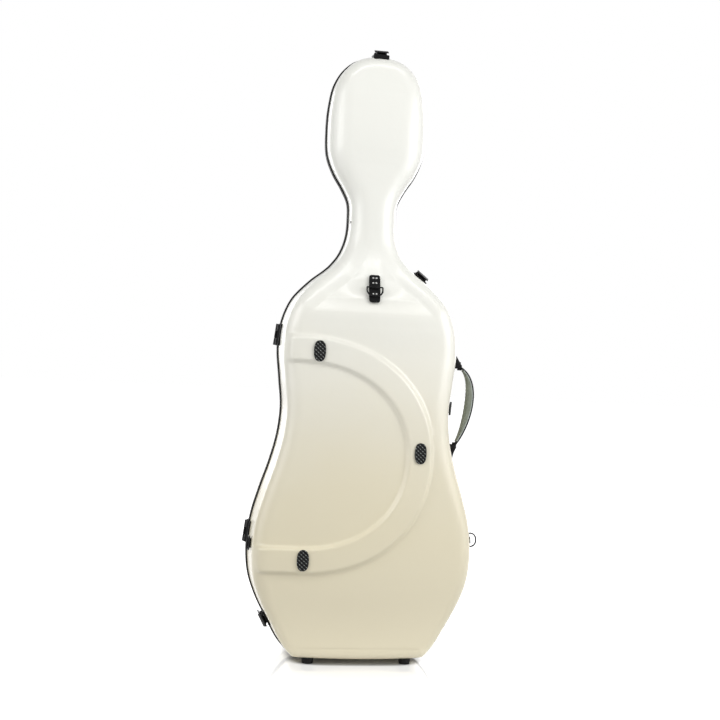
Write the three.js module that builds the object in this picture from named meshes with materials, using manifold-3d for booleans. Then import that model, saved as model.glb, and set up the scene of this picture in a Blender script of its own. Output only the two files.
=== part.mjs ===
// Cello hard case: two moulded shells that close on a black rim, hung on two
// hinges at the left, shut by five draw latches, with a carrying handle at the
// right, three strap rings, rubber rests on the crescent of the back, feet, and
// the padded bay inside. Millimetres, +Z up. The floor is z = 0 and the shells
// part on the plane y = 0, the back shell towards -Y and the lid towards +Y.
import * as THREE from "three";
import { mergeVertices } from "three/addons/utils/BufferGeometryUtils.js";
import Module from "manifold-3d";

const wasm = await Module();
wasm.setup();

const { lerp, smoothstep, degToRad } = THREE.MathUtils;

// Clearances and walls
const fit = 0.3;
const wall = 3.6;
const liningThick = 1.6;
const overrun = 6;
const bury = 24;
const weld = 1e-4;

// Outline of the shells at the parting plane: half widths, and how far each place lies
// over the one below it
const shellBottom = 7;
const floorRise = 3.4;
const floorHalf = 130.5;
const cornerRadius = 27;
const cornerTurn = degToRad(59);
const lowerHalf = 239.5;
const lowerRise = 229;
const waistHalf = 179;
const waistRise = 302;
const upperHalf = 191.5;
const upperRise = 130;
const neckHalf = 51;
const neckRise = 290;
const headHalf = 107;
const headRise = 188;
const crownRise = 161;

// Depth of the back shell and of the lid from the parting plane to the edge of their faces
const backDepth = { floor: 100, lower: 111, waist: 109, upper: 102, neck: 55, head: 64, crown: 57 };
const lidDepth = { floor: 104, lower: 114, waist: 112, upper: 106, neck: 56, head: 62, crown: 55 };
const edgeRound = { floor: 15, lower: 27, waist: 28, upper: 28, neck: 33, head: 40, crown: 27 };
const draft = Math.tan(degToRad(3));
const backRadius = 2450;
const lidRadius = 1500;
const domeRun = 130;

// Soft arch of the back below the neck: how far under the neck it lies, its run and lift
const archDrop = 132;
const archRun = 44;
const archLift = 11;

// Points between two stations of the outline: share of the way across, share of the way up
const floorShares = [[0.5, 0.25], [0.9, 0.81]];
const flankShares = [[0.485, 0.313], [0.745, 0.515], [0.92, 0.71]];
const lowerShares = [[0.1, 0.215], [0.36, 0.411], [0.7, 0.627], [0.92, 0.815]];
const waistShares = [[0.5, 0.5]];
const shoulderShares = [
  [0.053, 0.214], [0.173, 0.352], [0.426, 0.49], [0.76, 0.63], [0.868, 0.7], [0.965, 0.815],
];
const throatShares = [[0.045, 0.165], [0.3, 0.325], [0.648, 0.489], [0.91, 0.67]];
const crownShares = [[0.03, 0.33], [0.12, 0.61], [0.25, 0.77], [0.49, 0.92]];
// Where along a span its depth changes, as shares of the way up
const wholeShare = [0, 1];
const shoulderDepthShare = [0.28, 0.86];
const spanSteps = 16;
const rowLength = 105;
const rowTurn = degToRad(18.5);

// Rims at the parting plane; the lid's has a tongue that enters a groove of the other
const rimProud = 3;
const rimDeep = 6.6;
const rimInward = 3;
const rimStart = fit;
const tongueWide = 2;
const tongueDeep = 2;
const tongueInset = 2;
const shellStart = rimStart + rimDeep + fit;

// Raised crescent of the back
const crescentX = -145;
const crescentZ = 445;
const crescentInner = { across: 222, up: 189 };
const crescentWide = 66;
const crescentLift = 9;
const crescentFlank = 14;
const crescentTilt = degToRad(-3);
const crescentPower = 2.15;
const crescentEndGap = 9;
const crescentBury = 12;
const crescentSink = 3;
const crescentEndRun = 26;
const crescentSteps = 20;
const crescentEnds = 3;

// Rubber rests on the middle of the crescent's band, and how far round it each lies
const restSize = { wide: 25, tall: 44, proud: 4, edge: 1.2 };
const upperRestTurn = degToRad(86.3);
const middleRestTurn = degToRad(5.2);
const lowerRestTurn = degToRad(-85);

// Hinges at the left
const hingeUpperZ = 694;
const hingeLowerZ = 267;
const hingeLong = 46;
const hingeAxisOut = 7;
const hingeBarrel = 3.2;
const hingePin = 1.4;
const hingeMiddle = 15.4;
const leafReach = 26;
const leafThick = 1.8;
const leafArm = 3;
const leafStep = 1.3;

// Draw latches: their heights on the outline, besides the one on the crown
const shoulderLatchZ = 830;
const waistLatchZ = 551;
const lowerLatchZ = 86;
// Latch plate, lever, bail and keeper, in the frame of the latch
const plateSize = { wide: 34, from: 9.2, to: 46, thick: 1.8, corner: 3 };
const leverPivot = { y: -14, n: 8 };
const bailPivot = { y: -24, n: 6.5 };
const bailBar = { y: 15, n: 7 };
const leverRest = degToRad(5);
const bailRest = degToRad(4.5);
const earInner = 7;
const earThick = 2;
const earTop = 10.6;
const earHalf = 4;
const leverSide = 1.5;
const leverNose = 3.6;
const leverHeel = 2.8;
const leverRoot = 3.1;
const leverCapHalf = 15;
const leverCapFrom = 20;
const leverTip = 31;
const pinRadius = 1.4;
const wireRadius = 1.4;
const eyeRadius = 3;
const keeperWide = 30;
const keeperHook = 16;
const keeperTo = 29;
const lipTop = 7.5;
const lipThick = 1.6;

// Carrying handle at the right
const handleY = -58;
const handleUpperZ = 636;
const handleLowerZ = 474;
const handleOut = 14.5;
const bowLowReach = 47;
const bowLowRise = 51;
const bowHighReach = 55;
const bowHighDrop = 24;
const handleBand = { wide: 27, thick: 3, end: 12 };
const bandEndShare = 0.02;
const gripThick = 12;
const gripWide = 25;
const gripShare = 0.1;
const gripSides = { widthShare: 0.75, depthShare: 0.2, shoulderShare: 0.6 };
const bowSteps = 14;
const handleBoss = { radius: 5, tall: 9 };
const handlePin = { radius: 2.3, tall: 9 };
const mountSize = { tall: 33, wide: 28, nose: 11, overhang: 6, inset: 16 };

// Strap rings
const ringWire = 1.6;
const rightRingZ = 266;
const leftRingZ = 250;
const sideRing = { y: -58, bar: 29, bow: 15, bend: 6 };
const topRing = { z: 800, bar: 34, bow: 20, bend: 7 };
const leftRingLean = degToRad(6);
const topRingLean = degToRad(4);
const anchorSize = { along: 19, across: 24, thick: 2.2, bridge: 14 };
const topPlate = { wide: 24, tall: 60, thick: 2.4, barShare: 0.03 };
const rivetRadius = 2.2;
const rivetProud = 1;
const rivetRowShares = [-0.19, 0.2, 0.38];
const rivetX = 5;

// Feet and the small neck stud
const footX = 105;
const footY = 75;
const footRadius = 13;
const footTaper = 1.5;
const studZ = 945;
const studY = 30;
const studRadius = 2.6;
const studProud = 2.2;

// Bay inside the shells
const cradle = { z: 905, tall: 62, top: -14, notch: 24, notchDeep: 30 };
const neckStrap = { z: 922, tall: 28, thick: 2.4, rise: 16, half: 31 };
const cushionUpper = { z: 690, tall: 118, thick: 26, top: -12 };
const cushionLower = { z: 232, tall: 150, thick: 28, top: -12 };
const cushionBack = 22;
const cushionCrown = 3;
const cushionShares = { top: 0.5, shoulder: 0.7, foot: 0.4, least: 0.04 };
const endBlock = { from: 16, to: 62, half: 92, top: -14, slot: 17 };
const lidPad = { z: 250, half: 95, tall: 190, thick: 16, edge: 3, seat: 1, leastShare: 0.06 };
const bowX = 40;
const bowClipZ = 470;
const bowPocketZ = 766;
const clipBase = { wide: 34, tall: 22, rise: 13, groove: 12, grooveDeep: 8 };
const clipTurn = { long: 34, wide: 11, thick: 3, pin: 2.4 };
const pouch = { wide: 34, tall: 54, rise: 20, wall: 3 };

// Finish of each kind of piece
const finishes = {
  shell: { color: 0xece8d6, roughness: 0.42, metalness: 0.05 },
  trim: { color: 0x151515, roughness: 0.55, metalness: 0 },
  hardware: { color: 0x1b1b1c, roughness: 0.38, metalness: 0.6 },
  steel: { color: 0x9a9a98, roughness: 0.3, metalness: 0.9 },
  rubber: { color: 0x101010, roughness: 0.85, metalness: 0 },
  grip: { color: 0x82877a, roughness: 0.7, metalness: 0 },
  lining: { color: 0x3a3c40, roughness: 0.95, metalness: 0 },
  padding: { color: 0x44464b, roughness: 0.95, metalness: 0 },
};

const part = new THREE.Group();
part.name = "cello_case";

function add(name, finish, geometry, parent = part) {
  const mesh = new THREE.Mesh(geometry, new THREE.MeshStandardMaterial(finishes[finish]));
  mesh.name = name;
  parent.add(mesh);
  return mesh;
}

// Solids: a closed geometry to manifold and back, for joins and cuts
function solid(geometry) {
  const bare = geometry.clone();
  bare.deleteAttribute("normal");
  bare.deleteAttribute("uv");
  const merged = mergeVertices(bare, weld);
  const index = merged.index.array;
  const kept = [];
  for (let i = 0; i < index.length; i += 3) {
    const [a, b, c] = [index[i], index[i + 1], index[i + 2]];
    if (a !== b && b !== c && c !== a) kept.push(a, b, c);
  }
  const vertProperties = new Float32Array(merged.attributes.position.array);
  const mesh = new wasm.Mesh({ numProp: 3, vertProperties, triVerts: new Uint32Array(kept) });
  return new wasm.Manifold(mesh);
}

function geometryOf(manifold) {
  const mesh = manifold.getMesh();
  const geometry = new THREE.BufferGeometry();
  geometry.setAttribute("position", new THREE.BufferAttribute(mesh.vertProperties, 3));
  geometry.setIndex(new THREE.BufferAttribute(mesh.triVerts, 1));
  geometry.computeVertexNormals();
  return geometry;
}

function joined(...geometries) {
  return geometryOf(geometries.map(solid).reduce((whole, next) => whole.add(next)));
}

function cut(geometry, ...tools) {
  return geometryOf(tools.map(solid).reduce((whole, tool) => whole.subtract(tool), solid(geometry)));
}

function common(geometry, tool) {
  return geometryOf(solid(geometry).intersect(solid(tool)));
}

// Whether the triangles of a closed form face out of it
function facesOut(positions, index) {
  const corner = (i) => new THREE.Vector3().fromArray(positions, 3 * index[i]);
  let volume = 0;
  for (let i = 0; i < index.length; i += 3) {
    volume += corner(i).dot(corner(i + 1).cross(corner(i + 2)));
  }
  return volume > 0;
}

// A grid of points, closed round its columns, capped at both ends unless they close by themselves
function loft(rows, capped) {
  const count = rows[0].length;
  const positions = rows.flat(2);
  const index = [];
  for (let i = 0; i < rows.length - 1; i += 1) {
    for (let j = 0; j < count; j += 1) {
      const a = i * count + j;
      const b = i * count + ((j + 1) % count);
      index.push(a, b, b + count, a, b + count, a + count);
    }
  }
  if (capped) {
    const last = (rows.length - 1) * count;
    for (let j = 1; j < count - 1; j += 1) {
      index.push(0, j + 1, j, last, last + j, last + j + 1);
    }
  }
  if (!facesOut(positions, index)) index.reverse();
  const geometry = new THREE.BufferGeometry();
  geometry.setAttribute("position", new THREE.Float32BufferAttribute(positions, 3));
  geometry.setIndex(index);
  return geometry;
}

function box(x0, x1, y0, y1, z0, z1) {
  const geometry = new THREE.BoxGeometry(x1 - x0, y1 - y0, z1 - z0);
  return geometry.translate((x0 + x1) / 2, (y0 + y1) / 2, (z0 + z1) / 2);
}

function rodX(radius, x0, x1, y, z, sides = 8) {
  const geometry = new THREE.CylinderGeometry(radius, radius, x1 - x0, sides);
  return geometry.rotateZ(Math.PI / 2).translate((x0 + x1) / 2, y, z);
}

function rodZ(radius, z0, z1, x, y, sides = 12) {
  const geometry = new THREE.CylinderGeometry(radius, radius, z1 - z0, sides);
  return geometry.rotateX(Math.PI / 2).translate(x, y, (z0 + z1) / 2);
}

// A profile in the (y, z) plane, carried along X from -half to half
function plank(points, half) {
  const shape = new THREE.Shape(points.map(([y, z]) => new THREE.Vector2(y, z)));
  const geometry = new THREE.ExtrudeGeometry(shape, { depth: 2 * half, bevelEnabled: false });
  geometry.translate(0, 0, -half);
  return geometry.rotateX(Math.PI / 2).rotateZ(Math.PI / 2);
}

// A profile in the (x, z) plane, carried along Y from y0 to y1
function slab(points, y0, y1, holes = []) {
  const shape = new THREE.Shape(points.map(([x, z]) => new THREE.Vector2(x, z)));
  for (const hole of holes) {
    shape.holes.push(new THREE.Path(hole.map(([x, z]) => new THREE.Vector2(x, z))));
  }
  const geometry = new THREE.ExtrudeGeometry(shape, { depth: y1 - y0, bevelEnabled: false });
  return geometry.rotateX(Math.PI / 2).translate(0, y1, 0);
}

function oval(wide, tall, steps) {
  const points = [];
  const straight = (tall - wide) / 2;
  for (let i = 0; i < 2 * steps; i += 1) {
    const angle = (Math.PI * (i + 0.5)) / steps;
    const up = Math.sin(angle) > 0 ? straight : -straight;
    points.push([(wide / 2) * Math.cos(angle), (wide / 2) * Math.sin(angle) + up]);
  }
  return points;
}

function rounded(wide, tall, corner) {
  const [x, z] = [wide / 2, tall / 2];
  return [
    [x - corner, -z], [x, corner - z], [x, z - corner], [x - corner, z],
    [corner - x, z], [-x, z - corner], [-x, corner - z], [corner - x, -z],
  ];
}

// The outline as stations, each with its half width, height, depths and edge radius
function station(half, z, name) {
  return { half, z, back: backDepth[name], lid: lidDepth[name], round: edgeRound[name] };
}

function between(low, high, [across, up], [from, to] = wholeShare) {
  const ease = smoothstep(up, from, to);
  return {
    half: lerp(low.half, high.half, across),
    z: lerp(low.z, high.z, up),
    back: lerp(low.back, high.back, ease),
    lid: lerp(low.lid, high.lid, ease),
    round: lerp(low.round, high.round, ease),
  };
}

function cornerStation(turn) {
  const centreZ = shellBottom + floorRise + cornerRadius;
  const half = floorHalf + cornerRadius * Math.sin(turn);
  return station(half, centreZ - cornerRadius * Math.cos(turn), "floor");
}

const cornerEnd = cornerStation(cornerTurn);
const lower = station(lowerHalf, shellBottom + lowerRise, "lower");
const waist = station(waistHalf, lower.z + waistRise, "waist");
const upper = station(upperHalf, waist.z + upperRise, "upper");
const neck = station(neckHalf, upper.z + neckRise, "neck");
const head = station(headHalf, neck.z + headRise, "head");
const crown = station(0, head.z + crownRise, "crown");
const floorMiddle = station(0, shellBottom, "floor");
const spans = [
  [cornerEnd, lower, flankShares],
  [lower, waist, lowerShares],
  [waist, upper, waistShares],
  [upper, neck, shoulderShares, shoulderDepthShare],
  [neck, head, throatShares],
  [head, crown, crownShares],
];
const cornerStart = cornerStation(0);
const stations = [floorMiddle];
stations.push(...floorShares.map((share) => between(floorMiddle, cornerStart, share)));
stations.push(cornerStart, cornerStation(cornerTurn / 2));
for (const [low, high, shares, depthShare] of spans) {
  stations.push(low, ...shares.map((share) => between(low, high, share, depthShare)));
}
stations.push(crown);

const keys = ["half", "z", "back", "lid", "round"];
const mirrored = (row) => ({ ...row, half: -row.half });
const apart = (a, b) => Math.hypot(a.half - b.half, a.z - b.z);

// A smooth curve through the stations: on each span a cubic whose end slopes are the
// slopes of the two neighbouring chords, weighted by the length of the other one
function spanPoint(before, a, b, after, t) {
  const [d0, d1, d2] = [apart(before, a), apart(a, b), apart(b, after)];
  const t2 = t * t;
  const t3 = t2 * t;
  const row = {};
  for (const key of keys) {
    const v0 = (a[key] - before[key]) / d0;
    const v1 = (b[key] - a[key]) / d1;
    const v2 = (after[key] - b[key]) / d2;
    const m0 = ((v0 * d1 + v1 * d0) / (d0 + d1)) * d1;
    const m1 = ((v1 * d2 + v2 * d1) / (d1 + d2)) * d1;
    row[key] = (2 * t3 - 3 * t2 + 1) * a[key] + (t3 - 2 * t2 + t) * m0;
    row[key] += (3 * t2 - 2 * t3) * b[key] + (t3 - t2) * m1;
  }
  return row;
}

// The outline as closely spaced rows, each with its outward normal
function outlineRows() {
  const found = [];
  for (let i = 0; i < stations.length - 1; i += 1) {
    const before = i > 0 ? stations[i - 1] : mirrored(stations[1]);
    const after = i < stations.length - 2 ? stations[i + 2] : mirrored(stations[i]);
    for (let k = 0; k < spanSteps; k += 1) {
      found.push(spanPoint(before, stations[i], stations[i + 1], after, k / spanSteps));
    }
  }
  found.push({ ...crown });
  found.forEach((row, i) => {
    const next = found[i + 1] ?? mirrored(found[i - 1]);
    const last = found[i - 1] ?? mirrored(found[i + 1]);
    const [dx, dz] = [next.half - last.half, next.z - last.z];
    const length = Math.hypot(dx, dz);
    row.normal = { x: dz / length, z: -dx / length };
    row.turn = Math.atan2(dx, dz);
  });
  return found;
}

// The rows that the facets follow: near each other where the outline turns
function facetRows(all) {
  const spent = [0];
  for (let i = 1; i < all.length; i += 1) {
    const turned = Math.abs(all[i].turn - all[i - 1].turn) / rowTurn;
    spent.push(spent[i - 1] + turned + apart(all[i - 1], all[i]) / rowLength);
  }
  const count = Math.ceil(spent[spent.length - 1]);
  const kept = [];
  for (let k = 0; k <= count; k += 1) {
    const share = (k / count) * spent[spent.length - 1];
    const i = spent.findIndex((value) => value >= share - Number.EPSILON * count);
    kept.push(all[i < 0 ? all.length - 1 : i]);
  }
  return kept;
}

const fineRows = outlineRows();
const rows = facetRows(fineRows);

// Profile of a shell at one row, from the parting plane over the rounded edge to the face,
// as [inset from the outline, depth]; grow is how far outside the shell's own skin it lies
function profile(row, side, grow, start, arcSteps) {
  const depth = (side < 0 ? row.back : row.lid) + grow;
  const round = Math.max(row.round + grow, row.round / 2);
  const straight = depth - round;
  const points = [[draft * start - grow, start], [draft * straight - grow, straight]];
  for (let k = 1; k <= arcSteps; k += 1) {
    const angle = (Math.PI / 2) * (k / arcSteps);
    const inset = draft * straight - grow + round * (1 - Math.cos(angle));
    points.push([inset, straight + round * Math.sin(angle)]);
  }
  return points;
}

// How far the face stands over its edge: a shallow dome, and on the back the soft arch
const domeStart = shellBottom + floorRise + cornerRadius;
const archZ = neck.z - archDrop;
function faceSwell(side, edge, x, z) {
  const bend = 2 * (side < 0 ? backRadius : lidRadius);
  const dome = (smoothstep(z, domeStart, domeStart + domeRun) * (edge * edge - x * x)) / bend;
  const arch = side < 0 ? archLift * Math.exp(-(((z - archZ) / archRun) ** 2)) : 0;
  return Math.max(dome, 0) + arch * Math.max(1 - (x / Math.max(edge, fit)) ** 2, 0);
}

// The whole closed form of a shell: each row runs over one side, the face and the other side
function envelope(side, grow, start, arcSteps, faceSteps) {
  const grid = rows.map((row) => {
    const ring = profile(row, side, grow, start, arcSteps).map(([inset, depth]) => [
      row.half - row.normal.x * inset,
      depth,
      row.z - row.normal.z * inset,
    ]);
    const [edge, edgeDepth, edgeZ] = ring[ring.length - 1];
    const face = [];
    for (let k = 1; k < faceSteps; k += 1) {
      const x = edge * (1 - (2 * k) / faceSteps);
      face.push([x, edgeDepth + faceSwell(side, edge, x, edgeZ), edgeZ]);
    }
    const other = ring.map(([x, depth, z]) => [-x, depth, z]).reverse();
    return [...ring, ...face, ...other].map(([x, depth, z]) => [x, side * depth, z]);
  });
  return loft(grid, false);
}

// Depth of the face at a place, from the rows beside it
function faceDepth(side, x, z, grow) {
  const edges = rows.map((row) => {
    const ring = profile(row, side, grow, 0, 1);
    const [inset, depth] = ring[ring.length - 1];
    return {
      x: row.half - row.normal.x * inset,
      z: row.z - row.normal.z * inset,
      depth,
      round: row.round,
    };
  });
  const i = Math.max(0, edges.findIndex((edge, k) => k > 0 && edge.z >= z) - 1);
  const [a, b] = [edges[i], edges[i + 1]];
  const t = (z - a.z) / (b.z - a.z);
  const edge = lerp(a.x, b.x, t);
  const depth = lerp(a.depth, b.depth, t);
  const past = Math.max(0, Math.abs(x) - edge);
  const round = lerp(a.round, b.round, t);
  const fall = round - Math.sqrt(Math.max(round * round - past * past, 0));
  return depth + faceSwell(side, edge, x, z) - fall;
}

// Place on the fine outline at a height, with its outward normal
function outlineAt(z, side) {
  const i = Math.max(1, fineRows.findIndex((row) => row.z >= z && row.z > shellBottom + floorRise));
  const [a, b] = [fineRows[i - 1], fineRows[i]];
  const t = THREE.MathUtils.clamp((z - a.z) / (b.z - a.z), 0, 1);
  const normal = new THREE.Vector3(
    side * lerp(a.normal.x, b.normal.x, t), 0, lerp(a.normal.z, b.normal.z, t),
  ).normalize();
  return { point: new THREE.Vector3(side * lerp(a.half, b.half, t), 0, z), normal };
}

// The outline as a closed loop of points, moved outwards
function outlineLoop(out) {
  const right = rows.map((row) => [row.half + row.normal.x * out, row.z + row.normal.z * out]);
  const left = right.slice(1, -1).map(([x, z]) => [-x, z]).reverse();
  return [...right, ...left];
}

// A frame on the outline: X along it, Y towards the lid, Z outwards
function seatFrame({ point, normal }) {
  const forward = new THREE.Vector3(0, 1, 0);
  const along = new THREE.Vector3().crossVectors(forward, normal);
  const matrix = new THREE.Matrix4().makeBasis(along, forward, normal);
  return matrix.setPosition(point);
}

function placedGroup(matrix) {
  const group = new THREE.Group();
  group.applyMatrix4(matrix);
  part.add(group);
  return group;
}

// Cuts a shell's form, grown by the seat gap, out of a piece that stands in a frame
function seated(geometry, matrix, tool) {
  const inverse = matrix.clone().invert();
  return cut(geometry, tool.clone().applyMatrix4(inverse));
}

const backSkin = envelope(-1, fit, 0, 4, 8);
const lidSkin = envelope(1, fit, 0, 4, 8);
const liningSkin = wall + 2 * fit;
const bayInset = liningSkin + liningThick + fit;
const backBay = envelope(-1, -bayInset, -overrun, 1, 4);
const lidBay = envelope(1, -bayInset, -overrun, 1, 4);

// The crescent: a band between two half ovals, open to the hinge side, whose ends
// run level to the left edge
const crescentOuter = {
  across: crescentInner.across + crescentWide,
  up: crescentInner.up + crescentWide,
};

function crescentPoint({ across, up }, angle) {
  const power = 2 / crescentPower;
  const x = across * Math.abs(Math.cos(angle)) ** power;
  const z = up * Math.sign(angle) * Math.abs(Math.sin(angle)) ** power;
  return [
    crescentX + x * Math.cos(crescentTilt) - z * Math.sin(crescentTilt),
    crescentZ + x * Math.sin(crescentTilt) + z * Math.cos(crescentTilt),
  ];
}

// A point of the band at a step: round the oval, and level to the edge past its ends
function crescentRing(size, step) {
  const round = step - crescentEnds;
  const arc = THREE.MathUtils.clamp(round / crescentSteps, 0, 1);
  const [x, z] = crescentPoint(size, Math.PI * (arc - 0.5));
  const past = Math.max(-round, round - crescentSteps, 0) / crescentEnds;
  const reach = outlineAt(z, 1).point.x - crescentEndGap + x;
  return [x - reach * past, z];
}

// The band as a solid; each section is foot, shoulder, shoulder, foot
function crescentBand(inset, grow) {
  const sunk = crescentSink;
  const lift = crescentLift;
  const foot = (crescentFlank * sunk) / lift - inset;
  const sections = [];
  const total = crescentSteps + 2 * crescentEnds;
  const sizes = [
    { size: crescentOuter, trim: foot, raised: false },
    { size: crescentOuter, trim: -inset - crescentFlank, raised: true },
    { size: crescentInner, trim: inset + crescentFlank, raised: true },
    { size: crescentInner, trim: -foot, raised: false },
  ];
  for (let step = 0; step <= total; step += 1) {
    const section = sizes.map(({ size, trim, raised }) => {
      const here = { across: size.across + trim, up: size.up + trim };
      const [x, z] = crescentRing(here, step);
      const edge = outlineAt(z, 1).point.x - crescentEndGap - Math.abs(x);
      const fade = x < 0 ? smoothstep(edge, 0, crescentEndRun) : 1;
      const depth = faceDepth(-1, x, z, grow);
      return { x, z, depth: raised ? depth + lift * fade - sunk * (1 - fade) : depth - sunk };
    });
    const top = section.map(({ x, z, depth }) => [x, -depth, z]);
    const base = section.map(({ x, z }) => [x, -(faceDepth(-1, x, z, grow) - crescentBury), z]);
    sections.push([...top, ...base.reverse()]);
  }
  return loft(sections, true);
}

function shellPiece(side) {
  let outer = solid(envelope(side, 0, shellStart, 4, 8));
  let inner = solid(envelope(side, -wall, -overrun, 2, 4));
  if (side < 0) {
    outer = outer.add(solid(crescentBand(0, 0)));
    inner = inner.add(solid(crescentBand(wall / 2, -wall)));
  }
  return geometryOf(outer.subtract(inner));
}

function liningPiece(side) {
  const outer = envelope(side, -liningSkin, shellStart + fit, 1, 4);
  return cut(outer, envelope(side, -liningSkin - liningThick, -overrun, 1, 4));
}

add("back_shell", "shell", shellPiece(-1));
add("lid_shell", "shell", shellPiece(1));
add("back_lining", "lining", liningPiece(-1));
add("lid_lining", "lining", liningPiece(1));

// Rims
const rimOuter = outlineLoop(rimProud);
const rimInner = outlineLoop(-wall - rimInward);
const tongueEnd = -rimStart - tongueDeep;
const groove = slab(
  outlineLoop(fit - tongueInset), tongueEnd - fit, 0,
  [outlineLoop(-tongueInset - tongueWide - fit)],
);
const tongue = slab(
  outlineLoop(-tongueInset), tongueEnd, rimStart + rimDeep / 2,
  [outlineLoop(-tongueInset - tongueWide)],
);
const backRim = slab(rimOuter, -rimStart - rimDeep, -rimStart, [rimInner]);
add("back_rim", "trim", cut(backRim, groove));
const lidRim = slab(rimOuter, rimStart, rimStart + rimDeep, [rimInner]);
add("lid_rim", "trim", joined(lidRim, tongue));

// Rubber rests on the crescent, each a rounded oval that follows the raised face
function restPiece([x, z]) {
  const { wide, tall, proud, edge } = restSize;
  const steps = 7;
  const foot = oval(wide, tall, steps);
  const top = oval(wide - 2 * edge, tall - 2 * edge, steps);
  const level = (px, pz, up) => -(faceDepth(-1, x + px, z + pz, 0) + crescentLift + up);
  const rings = [
    foot.map(([px, pz]) => [x + px, level(px, pz, fit), z + pz]),
    foot.map(([px, pz]) => [x + px, level(px, pz, proud - edge), z + pz]),
    top.map(([px, pz]) => [x + px, level(px, pz, proud), z + pz]),
  ];
  return loft(rings, true);
}
const bandMiddle = {
  across: crescentInner.across + crescentWide / 2,
  up: crescentInner.up + crescentWide / 2,
};
const restTurns = { upper: upperRestTurn, middle: middleRestTurn, lower: lowerRestTurn };
for (const [name, turn] of Object.entries(restTurns)) {
  add(`${name}_back_rest`, "rubber", restPiece(crescentPoint(bandMiddle, turn)));
}

// Hinges
const hingePoint = (z) => {
  const { point, normal } = outlineAt(z, -1);
  return point.clone().addScaledVector(normal, hingeAxisOut);
};
const hingeTop = hingePoint(hingeUpperZ);
const hingeFoot = hingePoint(hingeLowerZ);
const hingeDirection = new THREE.Vector3().subVectors(hingeTop, hingeFoot).normalize();

function leafPiece(side, spansAlong) {
  const a = side * (shellStart + fit + leafStep);
  const profilePoints = [
    [side * leafReach, -overrun], [a, -overrun], [a, rimProud + 2 * fit],
    [side * hingeBarrel, rimProud + 2 * fit], [0, hingeAxisOut],
    [side * hingeBarrel / 2, hingeAxisOut + hingeBarrel / 2],
    [a + side * leafArm, rimProud + leafArm], [a + side * 2 * leafArm, leafThick],
    [side * leafReach, leafThick],
  ];
  const ordered = side < 0 ? profilePoints : [...profilePoints].reverse();
  const flat = ordered.filter(([y]) => Math.abs(y) >= Math.abs(a));
  let leaf = solid(plank(flat, hingeLong / 2));
  for (const [from, to] of spansAlong) {
    const arm = plank(ordered, (to - from) / 2).translate((from + to) / 2, 0, 0);
    leaf = leaf.add(solid(arm)).add(solid(rodX(hingeBarrel, from, to, 0, hingeAxisOut, 12)));
  }
  return geometryOf(leaf);
}

for (const [name, centre] of [["upper", hingeTop], ["lower", hingeFoot]]) {
  const out = new THREE.Vector3(-hingeDirection.z, 0, hingeDirection.x);
  const along = new THREE.Vector3().crossVectors(new THREE.Vector3(0, 1, 0), out);
  const matrix = new THREE.Matrix4().makeBasis(along, new THREE.Vector3(0, 1, 0), out);
  matrix.setPosition(centre.clone().addScaledVector(out, -hingeAxisOut));
  const group = placedGroup(matrix);
  const half = hingeLong / 2;
  const middle = hingeMiddle / 2;
  const ends = [[-half, -middle - fit], [middle + fit, half]];
  const pin = rodX(hingePin, -half, half, 0, hingeAxisOut, 12);
  const bore = rodX(hingePin + fit, -half, half, 0, hingeAxisOut, 12);
  const backLeaf = joined(leafPiece(-1, ends), pin);
  const lidLeaf = cut(leafPiece(1, [[-middle, middle]]), bore);
  add(`${name}_hinge_back_leaf`, "hardware", seated(backLeaf, matrix, backSkin), group);
  add(`${name}_hinge_lid_leaf`, "hardware", seated(lidLeaf, matrix, lidSkin), group);
}

// Draw latches
function latchPlate() {
  const { wide, from, to, thick, corner } = plateSize;
  const outline = rounded(wide, to - from, corner);
  const plate = slab(outline, -thick, bury).rotateX(-Math.PI / 2);
  plate.translate(0, -(from + to) / 2, 0);
  let whole = solid(plate);
  for (const side of [-1, 1]) {
    const middle = side * (earInner + earThick / 2);
    const ear = box(
      middle - earThick / 2, middle + earThick / 2,
      leverPivot.y - earHalf, leverPivot.y + earHalf, 0, earTop,
    );
    whole = whole.add(solid(ear));
  }
  const bore = rodX(pinRadius + fit, -wide, wide, leverPivot.y, leverPivot.n);
  return geometryOf(whole.subtract(solid(bore)));
}

// The lever about its pivot, as it lies when the latch is fully home
function latchLever() {
  const half = earInner + earThick + fit + leverSide;
  const base = plateSize.thick + 2 * fit - leverPivot.n;
  const top = earTop + fit - leverPivot.n;
  const side = [
    [leverNose, 0], [leverHeel, top], [-leverHeel, top + leverSide],
    [-leverCapFrom, top + leverSide / 2], [-leverTip, base + 2 * leverSide],
    [-leverTip, base + leverSide / 2], [-leverCapFrom, base], [-leverNose, base],
    [0, -leverRoot],
  ];
  const body = plank(side, half);
  const hollow = [
    [overrun * 2, top + overrun * 2], [pinRadius - leverCapFrom / 2, top + overrun * 2],
    [pinRadius - leverCapFrom / 2, top],
    [-leverCapFrom, top - leverSide / 2], [-leverTip + leverSide, base + leverSide],
    [-leverTip + leverSide, base - overrun], [overrun * 2, base - overrun],
  ];
  const cap = plank([
    [-leverCapFrom, top + leverSide / 2], [-leverTip, base + 2 * leverSide],
    [-leverTip, base + leverSide / 2], [-leverCapFrom, top - leverSide],
  ], leverCapHalf);
  const channel = plank(hollow, half - leverSide);
  const cross = rodX(pinRadius, -half, half, 0, 0);
  const [y, n] = [bailPivot.y - leverPivot.y, bailPivot.n - leverPivot.n];
  let lever = solid(body).subtract(solid(channel)).add(solid(cap)).add(solid(cross));
  for (const end of [-1, 1]) {
    const [from, to] = [half - leverSide, half + fit + 2 * wireRadius + fit];
    const stub = end > 0 ? rodX(pinRadius, from, to, y, n) : rodX(pinRadius, -to, -from, y, n);
    lever = lever.add(solid(stub));
  }
  return geometryOf(lever);
}

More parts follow.
